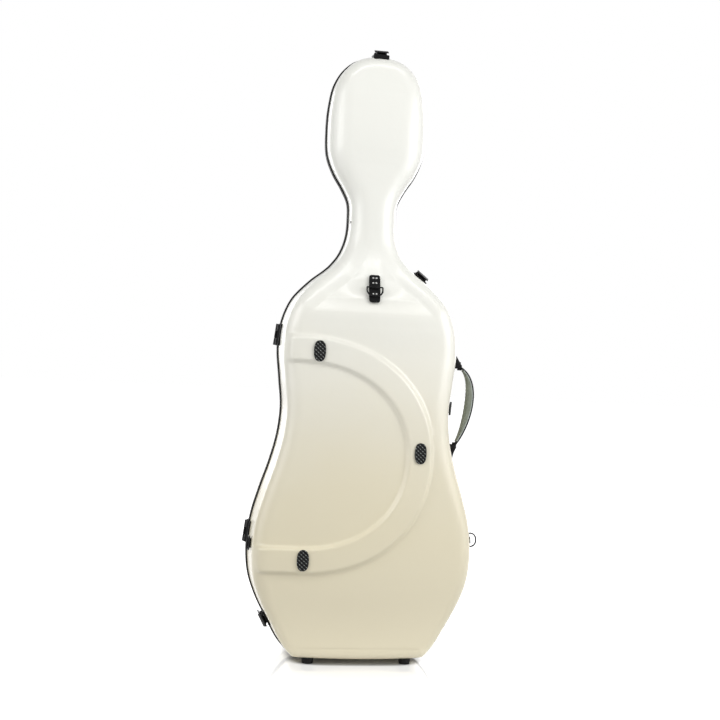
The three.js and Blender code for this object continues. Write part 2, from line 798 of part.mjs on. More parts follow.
// The bail about its own pivot, with its arms along +Y
function latchBail() {
  const inner = earInner + earThick + leverSide + 2 * fit;
  const middle = inner + wireRadius;
  const reach = Math.hypot(bailBar.y - bailPivot.y, bailBar.n - bailPivot.n);
  let bail = solid(rodX(wireRadius, -middle - wireRadius / 2, middle + wireRadius / 2, reach, 0, 6));
  const bores = [];
  for (const side of [-1, 1]) {
    const arm = new THREE.CylinderGeometry(wireRadius, wireRadius, reach - eyeRadius / 2, 6);
    arm.translate(side * middle, (reach + eyeRadius / 2) / 2, 0);
    const eye = rodX(eyeRadius, side * middle - wireRadius, side * middle + wireRadius, 0, 0, 8);
    bail = bail.add(solid(arm)).add(solid(eye));
    bores.push(rodX(pinRadius + fit, side * middle - eyeRadius, side * middle + eyeRadius, 0, 0, 8));
  }
  for (const bore of bores) bail = bail.subtract(solid(bore));
  return geometryOf(bail);
}

function latchKeeper() {
  const lipBack = bailBar.y - wireRadius - fit;
  const foot = plateSize.thick;
  const from = shellStart + 2 * leafThick;
  const plate = plank([[from, -bury], [keeperTo, -bury], [keeperTo, foot], [from, foot]], keeperWide / 2);
  const hook = plank([
    [from, 0], [keeperTo - lipThick, 0], [keeperTo - lipThick, foot + lipThick / 2],
    [lipBack, foot + lipThick / 2], [lipBack, lipTop], [lipBack - lipThick, lipTop],
    [from + lipThick / 2, foot + lipThick],
  ], keeperHook / 2);
  return joined(plate, hook);
}

const turnedBy = (y, n, angle) => [
  y * Math.cos(angle) - n * Math.sin(angle), y * Math.sin(angle) + n * Math.cos(angle),
];

const latchPlaces = [
  { name: "top", z: crown.z, side: 1 },
  { name: "shoulder", z: shoulderLatchZ, side: 1 },
  { name: "waist", z: waistLatchZ, side: 1 },
  { name: "lower_right", z: lowerLatchZ, side: 1 },
  { name: "lower_left", z: lowerLatchZ, side: -1 },
];
for (const place of latchPlaces) {
  const matrix = seatFrame(outlineAt(place.z, place.side));
  const group = placedGroup(matrix);
  add(`${place.name}_latch_plate`, "hardware", seated(latchPlate(), matrix, backSkin), group);
  add(`${place.name}_latch_keeper`, "hardware", seated(latchKeeper(), matrix, lidSkin), group);
  const lever = add(`${place.name}_latch_lever`, "hardware", latchLever(), group);
  lever.position.set(0, leverPivot.y, leverPivot.n);
  lever.rotation.x = -leverRest;
  const [y, n] = turnedBy(bailPivot.y - leverPivot.y, bailPivot.n - leverPivot.n, -leverRest);
  const bail = add(`${place.name}_latch_bail`, "steel", latchBail(), group);
  bail.position.set(0, leverPivot.y + y, leverPivot.n + n);
  const closed = Math.atan2(bailBar.n - bailPivot.n, bailBar.y - bailPivot.y);
  bail.rotation.x = closed + bailRest;
}

// Handle: a band bowed between two pivots, with a padded grip on its inner face
function handlePivot(z) {
  return { x: outlineAt(z, 1).point.x + draft * handleY + handleOut, z };
}
const handleUpper = handlePivot(handleUpperZ);
const handleLower = handlePivot(handleLowerZ);
const bowCurve = new THREE.CubicBezierCurve3(
  new THREE.Vector3(handleLower.x, handleY, handleLower.z),
  new THREE.Vector3(handleLower.x + bowLowReach, handleY, handleLower.z + bowLowRise),
  new THREE.Vector3(handleUpper.x + bowHighReach, handleY, handleUpper.z - bowHighDrop),
  new THREE.Vector3(handleUpper.x, handleY, handleUpper.z),
);

// A strip along the bow: its section runs from out to out + thick, measured inwards
function bowStrip(from, to, steps, section) {
  const sections = [];
  for (let i = 0; i <= steps; i += 1) {
    const share = lerp(from, to, i / steps);
    const point = bowCurve.getPoint(share);
    const tangent = bowCurve.getTangent(share);
    const inward = new THREE.Vector3(-tangent.z, 0, tangent.x);
    sections.push(section(share).map(([y, deep]) => [
      point.x + inward.x * deep, point.y + y, point.z + inward.z * deep,
    ]));
  }
  return loft(sections, true);
}

const swell = (share) => Math.sin(Math.PI * THREE.MathUtils.clamp(share, 0, 1));

function handleBandPiece() {
  const { wide, thick, end } = handleBand;
  const strip = bowStrip(bandEndShare, 1 - bandEndShare, bowSteps, (share) => {
    const half = lerp(end, wide, Math.sqrt(swell(share))) / 2;
    return [[half, 0], [-half, 0], [-half, thick], [half, thick]];
  });
  const axis = new THREE.Vector3(handleUpper.x - handleLower.x, 0, handleUpper.z - handleLower.z);
  const lean = Math.atan2(axis.x, axis.z);
  const { radius, tall } = handleBoss;
  let band = solid(strip);
  for (const [end_, way] of [[handleUpper, 1], [handleLower, -1]]) {
    const boss = rodZ(radius, -tall - fit, -fit, 0, 0, 12);
    const pin = rodZ(handlePin.radius, -tall, handlePin.tall, 0, 0, 12);
    for (const piece of [boss, pin]) {
      if (way < 0) piece.rotateX(Math.PI);
      piece.rotateY(lean).translate(end_.x, handleY, end_.z);
      band = band.add(solid(piece));
    }
  }
  return geometryOf(band);
}

function gripPiece() {
  const { thick } = handleBand;
  const { widthShare, depthShare, shoulderShare } = gripSides;
  return bowStrip(gripShare, 1 - gripShare, bowSteps, (share) => {
    const full = swell((share - gripShare) / (1 - 2 * gripShare)) ** shoulderShare;
    const half = (gripWide / 2) * lerp(widthShare, 1, full);
    const near = thick + fit;
    const deep = near + gripThick * lerp(depthShare, 1, full);
    const shoulder = lerp(near, deep, shoulderShare);
    return [
      [half, near], [-half, near], [-half, shoulder],
      [-half * shoulderShare, deep], [half * shoulderShare, deep], [half, shoulder],
    ];
  });
}

function mountPiece(pivot, way) {
  const { tall, wide, nose, overhang, inset } = mountSize;
  const wallX = pivot.x - inset;
  const points = [
    [wallX - overrun, pivot.z], [pivot.x + overhang, pivot.z],
    [pivot.x + overhang, pivot.z + way * nose], [wallX + overhang, pivot.z + way * tall],
    [wallX - overrun, pivot.z + way * tall],
  ];
  const ordered = way > 0 ? points : [...points].reverse();
  const block = slab(ordered, handleY - wide / 2, handleY + wide / 2);
  const { radius } = handlePin;
  const bore = rodZ(radius + fit, -overrun, handlePin.tall + fit, 0, 0, 12);
  const lean = Math.atan2(handleUpper.x - handleLower.x, handleUpper.z - handleLower.z);
  if (way < 0) bore.rotateX(Math.PI);
  bore.rotateY(lean).translate(pivot.x, handleY, pivot.z);
  return cut(block, backSkin, bore);
}

add("handle_upper_mount", "hardware", mountPiece(handleUpper, 1));
add("handle_lower_mount", "hardware", mountPiece(handleLower, -1));
add("handle_band", "trim", handleBandPiece());
add("handle_grip", "grip", gripPiece());

// Strap rings: a wire bent to a D, its bar held in a bridge on a small plate.
// At each corner the section lies in the plane that halves the corner.
function wireLoop(points, radius, sides) {
  const turns = points.map((point, i) => {
    const [x0, y0] = points[(i + points.length - 1) % points.length];
    const [x1, y1] = points[(i + 1) % points.length];
    const [a, b] = [
      new THREE.Vector2(point[0] - x0, point[1] - y0).normalize(),
      new THREE.Vector2(x1 - point[0], y1 - point[1]).normalize(),
    ];
    const along = a.clone().add(b).normalize();
    return { out: new THREE.Vector2(along.y, -along.x), stretch: 1 / along.dot(b) };
  });
  const sections = points.map(([x, y], i) => {
    const { out, stretch } = turns[i];
    const section = [];
    for (let k = 0; k < sides; k += 1) {
      const angle = (2 * Math.PI * k) / sides;
      const reach = radius * stretch * Math.cos(angle);
      section.push([x + out.x * reach, y + out.y * reach, radius * Math.sin(angle)]);
    }
    return section;
  });
  return loft([...sections, sections[0]], false);
}

function ringPiece({ bar, bow, bend }) {
  const half = bar / 2;
  const steps = 3;
  const right = [[half, 0]];
  for (let k = 0; k <= steps; k += 1) {
    const angle = (Math.PI / 2) * (k / steps);
    right.push([half - bend + bend * Math.cos(angle), bow - bend + bend * Math.sin(angle)]);
  }
  const left = right.map(([x, y]) => [-x, y]).reverse();
  return wireLoop([...right, ...left], ringWire, 8);
}

const barHeight = ringWire + 2 * fit + anchorSize.thick;
const knuckle = ringWire + fit + leafThick;

// Bridge over the bar: along X, with its feet on the plate
function bridgePiece(half) {
  const block = box(-half, half, -knuckle, knuckle, 0, barHeight);
  const tube = rodX(knuckle, -half, half, 0, barHeight, 12);
  return joined(block, tube);
}

function sideAnchor(name, z, side, turn) {
  const matrix = seatFrame(outlineAt(z, side));
  matrix.multiply(new THREE.Matrix4().makeTranslation(0, sideRing.y, draft * sideRing.y));
  const group = placedGroup(matrix);
  const { along, across, thick, bridge } = anchorSize;
  const plate = slab(rounded(along, across, plateSize.corner), -thick, overrun * 2);
  plate.rotateX(-Math.PI / 2);
  const bore = rodX(ringWire + fit, -along, along, 0, barHeight, 12);
  const body = cut(joined(plate, bridgePiece(bridge / 2)), bore);
  add(`${name}_ring_anchor`, "hardware", seated(body, matrix, backSkin), group);
  const ring = add(`${name}_strap_ring`, "steel", ringPiece(sideRing), group);
  ring.position.set(0, 0, barHeight);
  ring.rotation.x = turn;
}
sideAnchor("right", rightRingZ, 1, Math.PI / 2);
sideAnchor("left", leftRingZ, -1, Math.PI + leftRingLean);

// The top anchor lies on the face of the back: a long plate with the ring's bar near its middle
const topDepth = faceDepth(-1, 0, topRing.z, 0);
const topSlope = (faceDepth(-1, 0, topRing.z + topPlate.tall / 2, 0)
  - faceDepth(-1, 0, topRing.z - topPlate.tall / 2, 0)) / topPlate.tall;
const topMatrix = new THREE.Matrix4().makeRotationX(Math.PI / 2 + Math.atan(topSlope));
topMatrix.setPosition(0, -topDepth, topRing.z);
const topGroup = placedGroup(topMatrix);

function topAnchor() {
  const { wide, tall, thick, barShare } = topPlate;
  const plate = slab(oval(wide, tall, 6), -thick, overrun * 2).rotateX(-Math.PI / 2);
  const barY = tall * barShare;
  const bridge = bridgePiece(wide / 2 - 2 * ringWire).translate(0, barY, 0);
  let body = solid(plate).add(solid(bridge));
  for (const row of rivetRowShares) {
    for (const side of [-1, 1]) {
      const rivet = rodZ(rivetRadius, 0, thick + rivetProud, side * rivetX, tall * row, 8);
      body = body.add(solid(rivet));
    }
  }
  const bore = rodX(ringWire + fit, -wide, wide, barY, barHeight, 12);
  return { geometry: geometryOf(body.subtract(solid(bore))), barY };
}
const top = topAnchor();
add("top_ring_anchor", "hardware", seated(top.geometry, topMatrix, backSkin), topGroup);
const topRingMesh = add("top_strap_ring", "steel", ringPiece(topRing), topGroup);
topRingMesh.position.set(0, top.barY, barHeight);
topRingMesh.rotation.x = Math.PI - topRingLean;

// Feet, two on each shell
for (const [shell, side, tool] of [["back", -1, backSkin], ["lid", 1, lidSkin]]) {
  for (const [name, end] of [["left", -1], ["right", 1]]) {
    const tall = shellBottom + floorRise + overrun;
    const foot = new THREE.CylinderGeometry(footRadius, footRadius - footTaper, tall, 16);
    foot.rotateX(Math.PI / 2).translate(end * footX, side * footY, tall / 2);
    add(`${shell}_${name}_foot`, "rubber", cut(foot, tool));
  }
}

// Stud on the back shell's wall beside the neck
const studMatrix = seatFrame(outlineAt(studZ, -1));
studMatrix.multiply(new THREE.Matrix4().makeTranslation(0, -studY, -draft * studY));
const stud = rodZ(studRadius, -overrun / 2, studProud, 0, 0, 10);
add("neck_stud", "steel", seated(stud, studMatrix, backSkin), placedGroup(studMatrix));

// Padded bay of the back shell
function cradlePiece() {
  const { z, tall, top, notch, notchDeep } = cradle;
  const block = box(-headHalf, headHalf, -backDepth.upper, top, z, z + tall);
  const slot = rodZ(notch, z - overrun, z + tall + overrun, 0, top - notchDeep + notch, 16);
  const mouth = box(-notch, notch, top - notchDeep + notch, overrun, z - overrun, z + tall + overrun);
  return common(cut(block, joined(slot, mouth)), backBay);
}
add("neck_cradle", "padding", cradlePiece());

function strapPiece() {
  const { z, tall, thick, rise, half } = neckStrap;
  const sections = [];
  const steps = 12;
  for (let i = 0; i <= steps; i += 1) {
    const x = lerp(-half, half, i / steps);
    const y = cradle.top + fit + rise * (1 - (x / half) ** 4) ** 2;
    sections.push([[x, y, z], [x, y, z + tall], [x, y + thick, z + tall], [x, y + thick, z]]);
  }
  return loft(sections, true);
}
add("neck_strap", "padding", strapPiece());

// A side cushion: a crowned pad that fills the edge of the bay beside the instrument
function sideCushion({ z, tall, thick, top }, side) {
  const sections = [];
  const steps = 8;
  const shares = cushionShares;
  for (let i = 0; i <= steps; i += 1) {
    const up = lerp(-1, 1, i / steps);
    const here = z + (up * tall) / 2;
    const crownHere = Math.sqrt(Math.max(1 - up ** 4, shares.least));
    const edge = outlineAt(here, 1).point.x;
    const face = edge - bayInset - thick * crownHere;
    const low = -backDepth.upper + cushionBack;
    const mid = (top + low) / 2;
    const flank = face + cushionCrown;
    const points = [
      [edge + overrun, top - cushionCrown], [face + thick * shares.top, top],
      [flank, lerp(mid, top, shares.shoulder)], [face, mid],
      [flank, lerp(mid, low, shares.shoulder)], [face + thick * shares.foot, low],
      [edge + overrun, low],
    ];
    sections.push(points.map(([x, y]) => [side * x, y, here]));
  }
  return common(loft(sections, true), backBay);
}
for (const [name, side] of [["left", -1], ["right", 1]]) {
  add(`upper_cushion_${name}`, "padding", sideCushion(cushionUpper, side));
  add(`lower_cushion_${name}`, "padding", sideCushion(cushionLower, side));
}

function endBlockPiece() {
  const { from, to, half, top: face, slot } = endBlock;
  const block = box(-half, half, -backDepth.floor - overrun, face, 0, to);
  const bore = rodZ(slot, from, to + overrun, 0, face - slot, 16);
  const mouth = box(-slot, slot, face - slot, overrun, from, to + overrun);
  return common(cut(block, joined(bore, mouth)), backBay);
}
add("end_block", "padding", endBlockPiece());

// Lid: a pad against the face, and two bow holders of a pouch and a turning clip each
function lidPadPiece() {
  const { z, half, tall, thick, edge, seat: sunk, leastShare } = lidPad;
  const sections = [];
  const steps = 8;
  for (let i = 0; i <= steps; i += 1) {
    const up = lerp(-1, 1, i / steps);
    const here = z + (up * tall) / 2;
    const wide = half * Math.sqrt(Math.max(1 - up ** 4, leastShare));
    const back = [];
    const front = [];
    for (let k = 0; k <= 6; k += 1) {
      const x = lerp(-wide, wide, k / 6);
      const seat = faceDepth(1, x, here, -bayInset - fit);
      const crownHere = (1 - (x / wide) ** 4) * (1 - up ** 4);
      back.push([x, seat - sunk, here]);
      front.push([x, seat - edge - (thick - edge) * Math.sqrt(Math.max(crownHere, 0)), here]);
    }
    sections.push([...back, ...front.reverse()]);
  }
  return common(loft(sections, true), lidBay);
}
add("lid_pad", "padding", lidPadPiece());

// Depth of the lining's inner face in the lid
const lidFloor = (x, z) => faceDepth(1, x, z, -bayInset);

function pocketPiece() {
  const { wide, tall, rise, wall: skin } = pouch;
  const z = bowPocketZ;
  const depth = lidFloor(bowX, z);
  const half = bowX + wide / 2;
  const outer = box(-half, half, depth - rise, depth + overrun * 2, z, z + tall);
  const mouths = [-bowX, bowX].map((x) => box(
    x - wide / 2 + skin, x + wide / 2 - skin, depth - rise + skin, depth - skin,
    z - overrun, z + tall - skin,
  ));
  return common(cut(outer, ...mouths), lidBay);
}
add("bow_tip_pocket", "padding", pocketPiece());

const clipPivotX = bowX + (clipBase.wide + clipBase.groove) / 4;
const clipFace = lidFloor(bowX, bowClipZ) - clipBase.rise;

function clipBasePiece() {
  const { wide, tall, rise, groove: slotWide, grooveDeep } = clipBase;
  const z = bowClipZ;
  const half = bowX + wide / 2;
  const block = box(-half, half, clipFace, clipFace + rise + overrun * 2, z, z + tall);
  const slots = [-bowX, bowX].map((x) => box(
    x - slotWide / 2, x + slotWide / 2, clipFace - overrun, clipFace + grooveDeep,
    z - overrun, z + tall + overrun,
  ));
  const bores = [-clipPivotX, clipPivotX].map((x) => {
    const bore = new THREE.CylinderGeometry(clipTurn.pin + fit, clipTurn.pin + fit, rise, 12);
    return bore.translate(x, clipFace, z + tall / 2);
  });
  return common(cut(block, ...slots, ...bores), lidBay);
}
add("bow_clip_base", "trim", clipBasePiece());

function clipTurnPiece(way) {
  const { long, wide, thick, pin } = clipTurn;
  const outline = oval(wide, long, 5).map(([px, pz]) => [way * (pz + long / 2 - wide / 2), px]);
  const bar = slab(way > 0 ? outline.reverse() : outline, -fit - thick, -fit);
  const peg = new THREE.CylinderGeometry(pin, pin, clipBase.rise / 2, 12);
  peg.translate(0, clipBase.rise / 4 - fit - thick / 2, 0);
  return joined(bar, peg);
}

for (const [name, way] of [["left", 1], ["right", -1]]) {
  const turn = add(`${name}_bow_clip`, "trim", clipTurnPiece(way));
  turn.position.set(-way * clipPivotX, clipFace, bowClipZ + clipBase.tall / 2);
}

export default part;
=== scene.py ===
"""Dresses the cello hard case: moulded pearl shells, black rims and fittings, plush bay."""
import math

import bmesh
import bpy
import numpy as np
from mathutils import Matrix, Vector
from mathutils.bvhtree import BVHTree


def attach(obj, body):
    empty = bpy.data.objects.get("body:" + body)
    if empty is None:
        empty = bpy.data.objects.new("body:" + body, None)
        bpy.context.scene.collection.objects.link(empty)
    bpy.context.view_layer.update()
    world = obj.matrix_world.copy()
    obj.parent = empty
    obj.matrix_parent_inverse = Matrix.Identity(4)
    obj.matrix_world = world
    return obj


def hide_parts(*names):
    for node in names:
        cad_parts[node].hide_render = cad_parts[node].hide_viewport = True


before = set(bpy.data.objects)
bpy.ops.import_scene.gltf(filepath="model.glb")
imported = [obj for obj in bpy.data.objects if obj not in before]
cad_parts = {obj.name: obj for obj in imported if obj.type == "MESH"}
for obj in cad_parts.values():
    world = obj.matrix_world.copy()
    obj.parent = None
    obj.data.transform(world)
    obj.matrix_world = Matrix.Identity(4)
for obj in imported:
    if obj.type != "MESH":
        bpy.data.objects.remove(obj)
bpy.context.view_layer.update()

MM = 0.001

# Sizes in millimetres, as in the part's source
FIT, WALL, LINING = 0.3, 3.6, 1.6
SHELL_BOTTOM, FLOOR_RISE, FLOOR_HALF = 7.0, 3.4, 130.5
CORNER_RADIUS, CORNER_TURN = 27.0, math.radians(59)
DRAFT = math.tan(math.radians(3))
DOME_BEND = {-1: 2450.0, 1: 1530.0}
DOME_START, DOME_RUN = SHELL_BOTTOM + FLOOR_RISE + CORNER_RADIUS, 130.0
SHELL_START = 7.2
# Depth at which the handle and the side rings sit, towards the back
HANDLE_Y = -58.0
# Points nearer than this, in metres, are one point
WELD = 2e-6
# Name: half width, height, depth of the back, depth of the lid, radius of the edge
STATIONS = {
    "floor": (FLOOR_HALF, SHELL_BOTTOM, 100, 104, 15),
    "lower": (239.5, 236, 111, 114, 27),
    "waist": (179, 538, 109, 112, 28),
    "upper": (191.5, 668, 102, 106, 28),
    "neck": (51, 958, 55, 56, 33),
    "head": (107, 1146, 64, 62, 40),
    "crown": (0, 1307, 57, 55, 27),
}
ARCH_Z, ARCH_RUN, ARCH_LIFT = 826.0, 44.0, 11.0
# The crescent lifts only what lies deeper than this: the face, and not the walls
FACE_FROM = 60
# The edge's turn begins this many radii in, as an oval of this power, without a crease
TURN_REACH, TURN_POWER, SWELL_REACH = 1.45, 2.5, 1.1
# The two rows of ridges on a rest: turns a millimetre along X and along Z
KNURL = ((0.115, 0.128), (0.095, -0.106))


# ---------------------------------------------------------------- form of the shells

def smooth(value, start, end):
    """Eases from 0 at start to 1 at end: 3t^2 - 2t^3 of the clamped share t."""
    t = np.clip((value - start) / (end - start), 0.0, 1.0)
    return t * t * (3 - 2 * t)


def unit(rows):
    """Rows of vectors, each brought to length one."""
    return rows / np.linalg.norm(rows, axis=1)[:, None]


def round_turn(steps):
    """Angles evenly apart round a full turn."""
    return np.linspace(0, 2 * math.pi, steps, endpoint=False)


def outline_stations():
    """The places that the outline goes through, bottom to top, as rows of
    half width, height, back depth, lid depth and edge radius."""
    def between(low, high, across, up, start=0.0, end=1.0):
        low, high = np.array(low, float), np.array(high, float)
        ease = smooth(up, start, end)
        share = np.array([across, up, ease, ease, ease])
        return low + (high - low) * share

    floor = STATIONS["floor"]
    depths = floor[2:]
    centre = SHELL_BOTTOM + FLOOR_RISE + CORNER_RADIUS

    def corner(turn):
        half = FLOOR_HALF + CORNER_RADIUS * math.sin(turn)
        return (half, centre - CORNER_RADIUS * math.cos(turn), *depths)

    middle = (0.0, SHELL_BOTTOM, *depths)
    start = corner(0.0)
    found = [middle, between(middle, start, 0.5, 0.25), between(middle, start, 0.9, 0.81)]
    found += [start, corner(CORNER_TURN / 2)]
    spans = [
        (corner(CORNER_TURN), "lower", [(0.485, 0.313), (0.745, 0.515), (0.92, 0.71)], (0, 1)),
        ("lower", "waist", [(0.1, 0.215), (0.36, 0.411), (0.7, 0.627), (0.92, 0.815)], (0, 1)),
        ("waist", "upper", [(0.5, 0.5)], (0, 1)),
        ("upper", "neck", [(0.053, 0.214), (0.173, 0.352), (0.426, 0.49), (0.76, 0.63),
                           (0.868, 0.7), (0.965, 0.815)], (0.28, 0.86)),
        ("neck", "head", [(0.045, 0.165), (0.3, 0.325), (0.648, 0.489), (0.91, 0.67)], (0, 1)),
        ("head", "crown", [(0.03, 0.33), (0.12, 0.61), (0.25, 0.77), (0.49, 0.92)], (0, 1)),
    ]
    for low, high, shares, ease in spans:
        low = STATIONS.get(low, low) if isinstance(low, str) else low
        found.append(low)
        found += [between(low, STATIONS[high], a, u, *ease) for a, u in shares]
    found.append(STATIONS["crown"])
    return np.array([np.asarray(row, float) for row in found])


def mirrored_ends(rows):
    """Rows with, before the first and past the last, the mirrored neighbour of each."""
    flip = np.array([-1, 1, 1, 1, 1])
    return np.vstack([rows[1] * flip, rows, rows[-2] * flip])


def outline_curve(steps):
    """Runs a cubic through the stations: on each span its end slopes are the slopes of
    the two neighbouring chords, each weighted by the other one's length."""
    rows = mirrored_ends(outline_stations())
    chord = np.diff(rows, axis=0)
    length = np.hypot(chord[:, 0], chord[:, 1])[:, None]
    slope = chord / length
    before, here, after = slope[:-2], slope[1:-1], slope[2:]
    d0, d1, d2 = length[:-2], length[1:-1], length[2:]
    m0 = (before * d1 + here * d0) / (d0 + d1) * d1
    m1 = (here * d2 + after * d1) / (d1 + d2) * d1
    t = (np.arange(steps) / steps)[None, :, None]
    a, b = rows[1:-2, None], rows[2:-1, None]
    m0, m1 = m0[:, None], m1[:, None]
    curve = (2 * t**3 - 3 * t**2 + 1) * a + (t**3 - 2 * t**2 + t) * m0
    curve = curve + (3 * t**2 - 2 * t**3) * b + (t**3 - t**2) * m1
    return np.vstack([curve.reshape(-1, 5), rows[-2]])


def with_normals(rows):
    """Adds the outward normal of each row, from the chord between its two neighbours."""
    ends = mirrored_ends(rows)
    run = unit(ends[2:, :2] - ends[:-2, :2])
    return np.column_stack([rows, run[:, 1], -run[:, 0]])


CURVE = with_normals(outline_curve(64))


def outline_rows(count, floor_share=0.35):
    """Rows of the outline evenly apart along it, fewer on the flat floor."""
    step = np.hypot(*np.diff(CURVE[:, :2], axis=0).T)
    step = step * np.where(CURVE[:-1, 1] < SHELL_BOTTOM + FLOOR_RISE, floor_share, 1.0)
    along = np.concatenate([[0], np.cumsum(step)])
    spot = np.interp(np.linspace(0, along[-1], count), along, np.arange(len(along)))
    rows = np.column_stack([np.interp(spot, np.arange(len(along)), column) for column in CURVE.T])
    rows[:, 5:] = unit(rows[:, 5:])
    return rows


def face_edge(rows, side, grow):
    """Where the rounded edge meets the face: x, z, depth and radius for each row."""
    depth = (rows[:, 2] if side < 0 else rows[:, 3]) + grow
    radius = np.maximum(rows[:, 4] + grow, rows[:, 4] / 2)
    inset = DRAFT * (depth - radius) - grow + radius
    return rows[:, 0] - rows[:, 5] * inset, rows[:, 1] - rows[:, 6] * inset, depth, radius


def face_swell(side, edge, x, z):
    """Height of the face over its edge: a shallow dome, and on the back the soft arch.
    Both fall by the power 1.5 of one less the squared share, so they end level."""
    lift = smooth(z, DOME_START, DOME_START + DOME_RUN) * edge**2 / (2 * DOME_BEND[side])
    if side < 0:
        lift = lift + ARCH_LIFT * np.exp(-(((z - ARCH_Z) / ARCH_RUN) ** 2))
    share = x / np.maximum(edge * SWELL_REACH, FIT)
    return lift * np.maximum(1 - share**2, 0) ** 1.5


def face_depth(side, x, z):
    """Depth of the outer face at a place, falling off over the rounded edge."""
    ex, ez, depth, radius = face_edge(CURVE, side, 0.0)
    keep = np.concatenate([[True], ez[1:] > np.maximum.accumulate(ez)[:-1]])
    edge, deep, curve = (np.interp(z, ez[keep], v[keep]) for v in (ex, depth, radius))
    reach = TURN_REACH * curve
    past = np.clip((np.abs(x) - edge + reach - curve) / reach, 0, 1)
    return deep + face_swell(side, edge, x, z) - curve * (1 - np.sqrt(1 - past**TURN_POWER))


def outline_at(z, side):
    """Point and outward normal of the outline at a height."""
    up = CURVE[CURVE[:, 1] > SHELL_BOTTOM + FLOOR_RISE]
    half, nx, nz = (np.interp(z, up[:, 1], up[:, k]) for k in (0, 5, 6))
    normal = np.array([side * nx, 0.0, nz])
    return np.array([side * half, 0.0, z]), normal / np.linalg.norm(normal)


CRESCENT = {"x": -145.0, "z": 445.0, "across": 222.0, "up": 189.0, "wide": 66.0, "lift": 9.0,
            "flank": 12.5, "tilt": math.radians(-3), "power": 2.15, "end_gap": 3.0, "end_run": 17.0}


def crescent_reach(x, z, grow):
    """Signed distance inside an oval of the crescent: its level function, one on the
    oval, over that function's slope. Left of the middle the oval runs level."""
    c = CRESCENT
    a, b = c["across"] + grow, c["up"] + grow
    dx, dz = x - c["x"], z - c["z"]
    u = dx * math.cos(c["tilt"]) + dz * math.sin(c["tilt"])
    v = -dx * math.sin(c["tilt"]) + dz * math.cos(c["tilt"])
    level = np.abs(dz) / math.cos(c["tilt"])
    uu, vv = np.maximum(u, 0) / a, np.where(u > 0, np.abs(v), level) / b
    power = c["power"]
    total = np.maximum(uu**power + vv**power, 1e-9)
    value = total ** (1 / power)
    gain = total ** (1 / power - 1)
    slope = np.hypot(gain * uu ** (power - 1) / a, gain * vv ** (power - 1) / b)
    return (1 - value) / np.maximum(slope, 1e-6)


def crescent_rise(x, z):
    """Lift of the crescent's band: full between its flanks, each a ramp with soft
    feet and shoulders, and fading out before the hinge side."""
    c = CRESCENT
    inside = np.minimum(crescent_reach(x, z, c["wide"]), -crescent_reach(x, z, 0.0))
    ramp = np.clip(inside / c["flank"], 0, 1)
    soft = 0.55 * ramp * ramp * (3 - 2 * ramp) + 0.45 * ramp**3 * (ramp * (6 * ramp - 15) + 10)
    half = np.interp(z, CURVE[:, 1], CURVE[:, 0])
    room = half - c["end_gap"] - np.abs(x)
    fade = np.where(x < 0, smooth(room, 0, c["end_run"]), 1.0)
    return c["lift"] * soft * fade


# ---------------------------------------------------------------- meshes and pieces

def grid_faces(rows, columns, closed):
    """Quads of a grid of points, each row closed round its columns if asked."""
    index = np.arange(rows * columns).reshape(rows, columns)
    right = np.roll(index, -1, axis=1)
    keep = slice(None) if closed else slice(0, -1)
    a, b = index[:-1, keep], right[:-1, keep]
    return np.stack([a, b, b + columns, a + columns], axis=-1).reshape(-1, 4)


def closed_form(points, capped=True):
    """Points and quads of a grid closed round its columns; both ends are drawn to
    their middles. Turned so that the volume is positive."""
    rows, columns = points.shape[:2]
    if capped:
        ends = [np.repeat(points[i].mean(0)[None], columns, 0) for i in (0, -1)]
        points = np.concatenate([ends[0][None], points, ends[1][None]])
        rows += 2
    spots = points.reshape(-1, 3)
    quads = grid_faces(rows, columns, True)
    a, b, c, d = (spots[quads[:, k]] for k in range(4))
    volume = (a * np.cross(b, c)).sum() + (a * np.cross(c, d)).sum()
    return spots, quads if volume > 0 else quads[:, ::-1]


def merged(mesh):
    """Joins the points of a mesh that lie on each other."""
    bm = bmesh.new()
    bm.from_mesh(mesh)
    bmesh.ops.remove_doubles(bm, verts=bm.verts, dist=WELD)
    bm.to_mesh(mesh)
    bm.free()


def build(name, forms, finish, body, stands_for, sharp):
    """Puts forms (points in millimetres and quads) into one mesh, merges the poles and
    seams, and hangs the piece on its body."""
    start, spots, quads = 0, [], []
    for points, faces in forms:
        spots.append(points)
        quads.append(faces + start)
        start += len(points)
    mesh = bpy.data.meshes.new(name)
    mesh.from_pydata((np.vstack(spots) * MM).tolist(), [], np.vstack(quads).tolist())
    merged(mesh)
    mesh.validate()
    mesh.shade_smooth()
    mesh.set_sharp_from_angle(angle=math.radians(sharp))
    return place(name, mesh, finish, body, stands_for)


def place(name, mesh, finish, body, stands_for):
    """Makes the object, gives it its finish and body, and hides what it stands for."""
    piece = bpy.data.objects.new(name, mesh)
    bpy.context.scene.collection.objects.link(piece)
    material, slot = finish
    mesh.materials.clear()
    mesh.materials.append(material)
    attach(piece, body)
    if stands_for:
        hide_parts(*stands_for)
    return piece


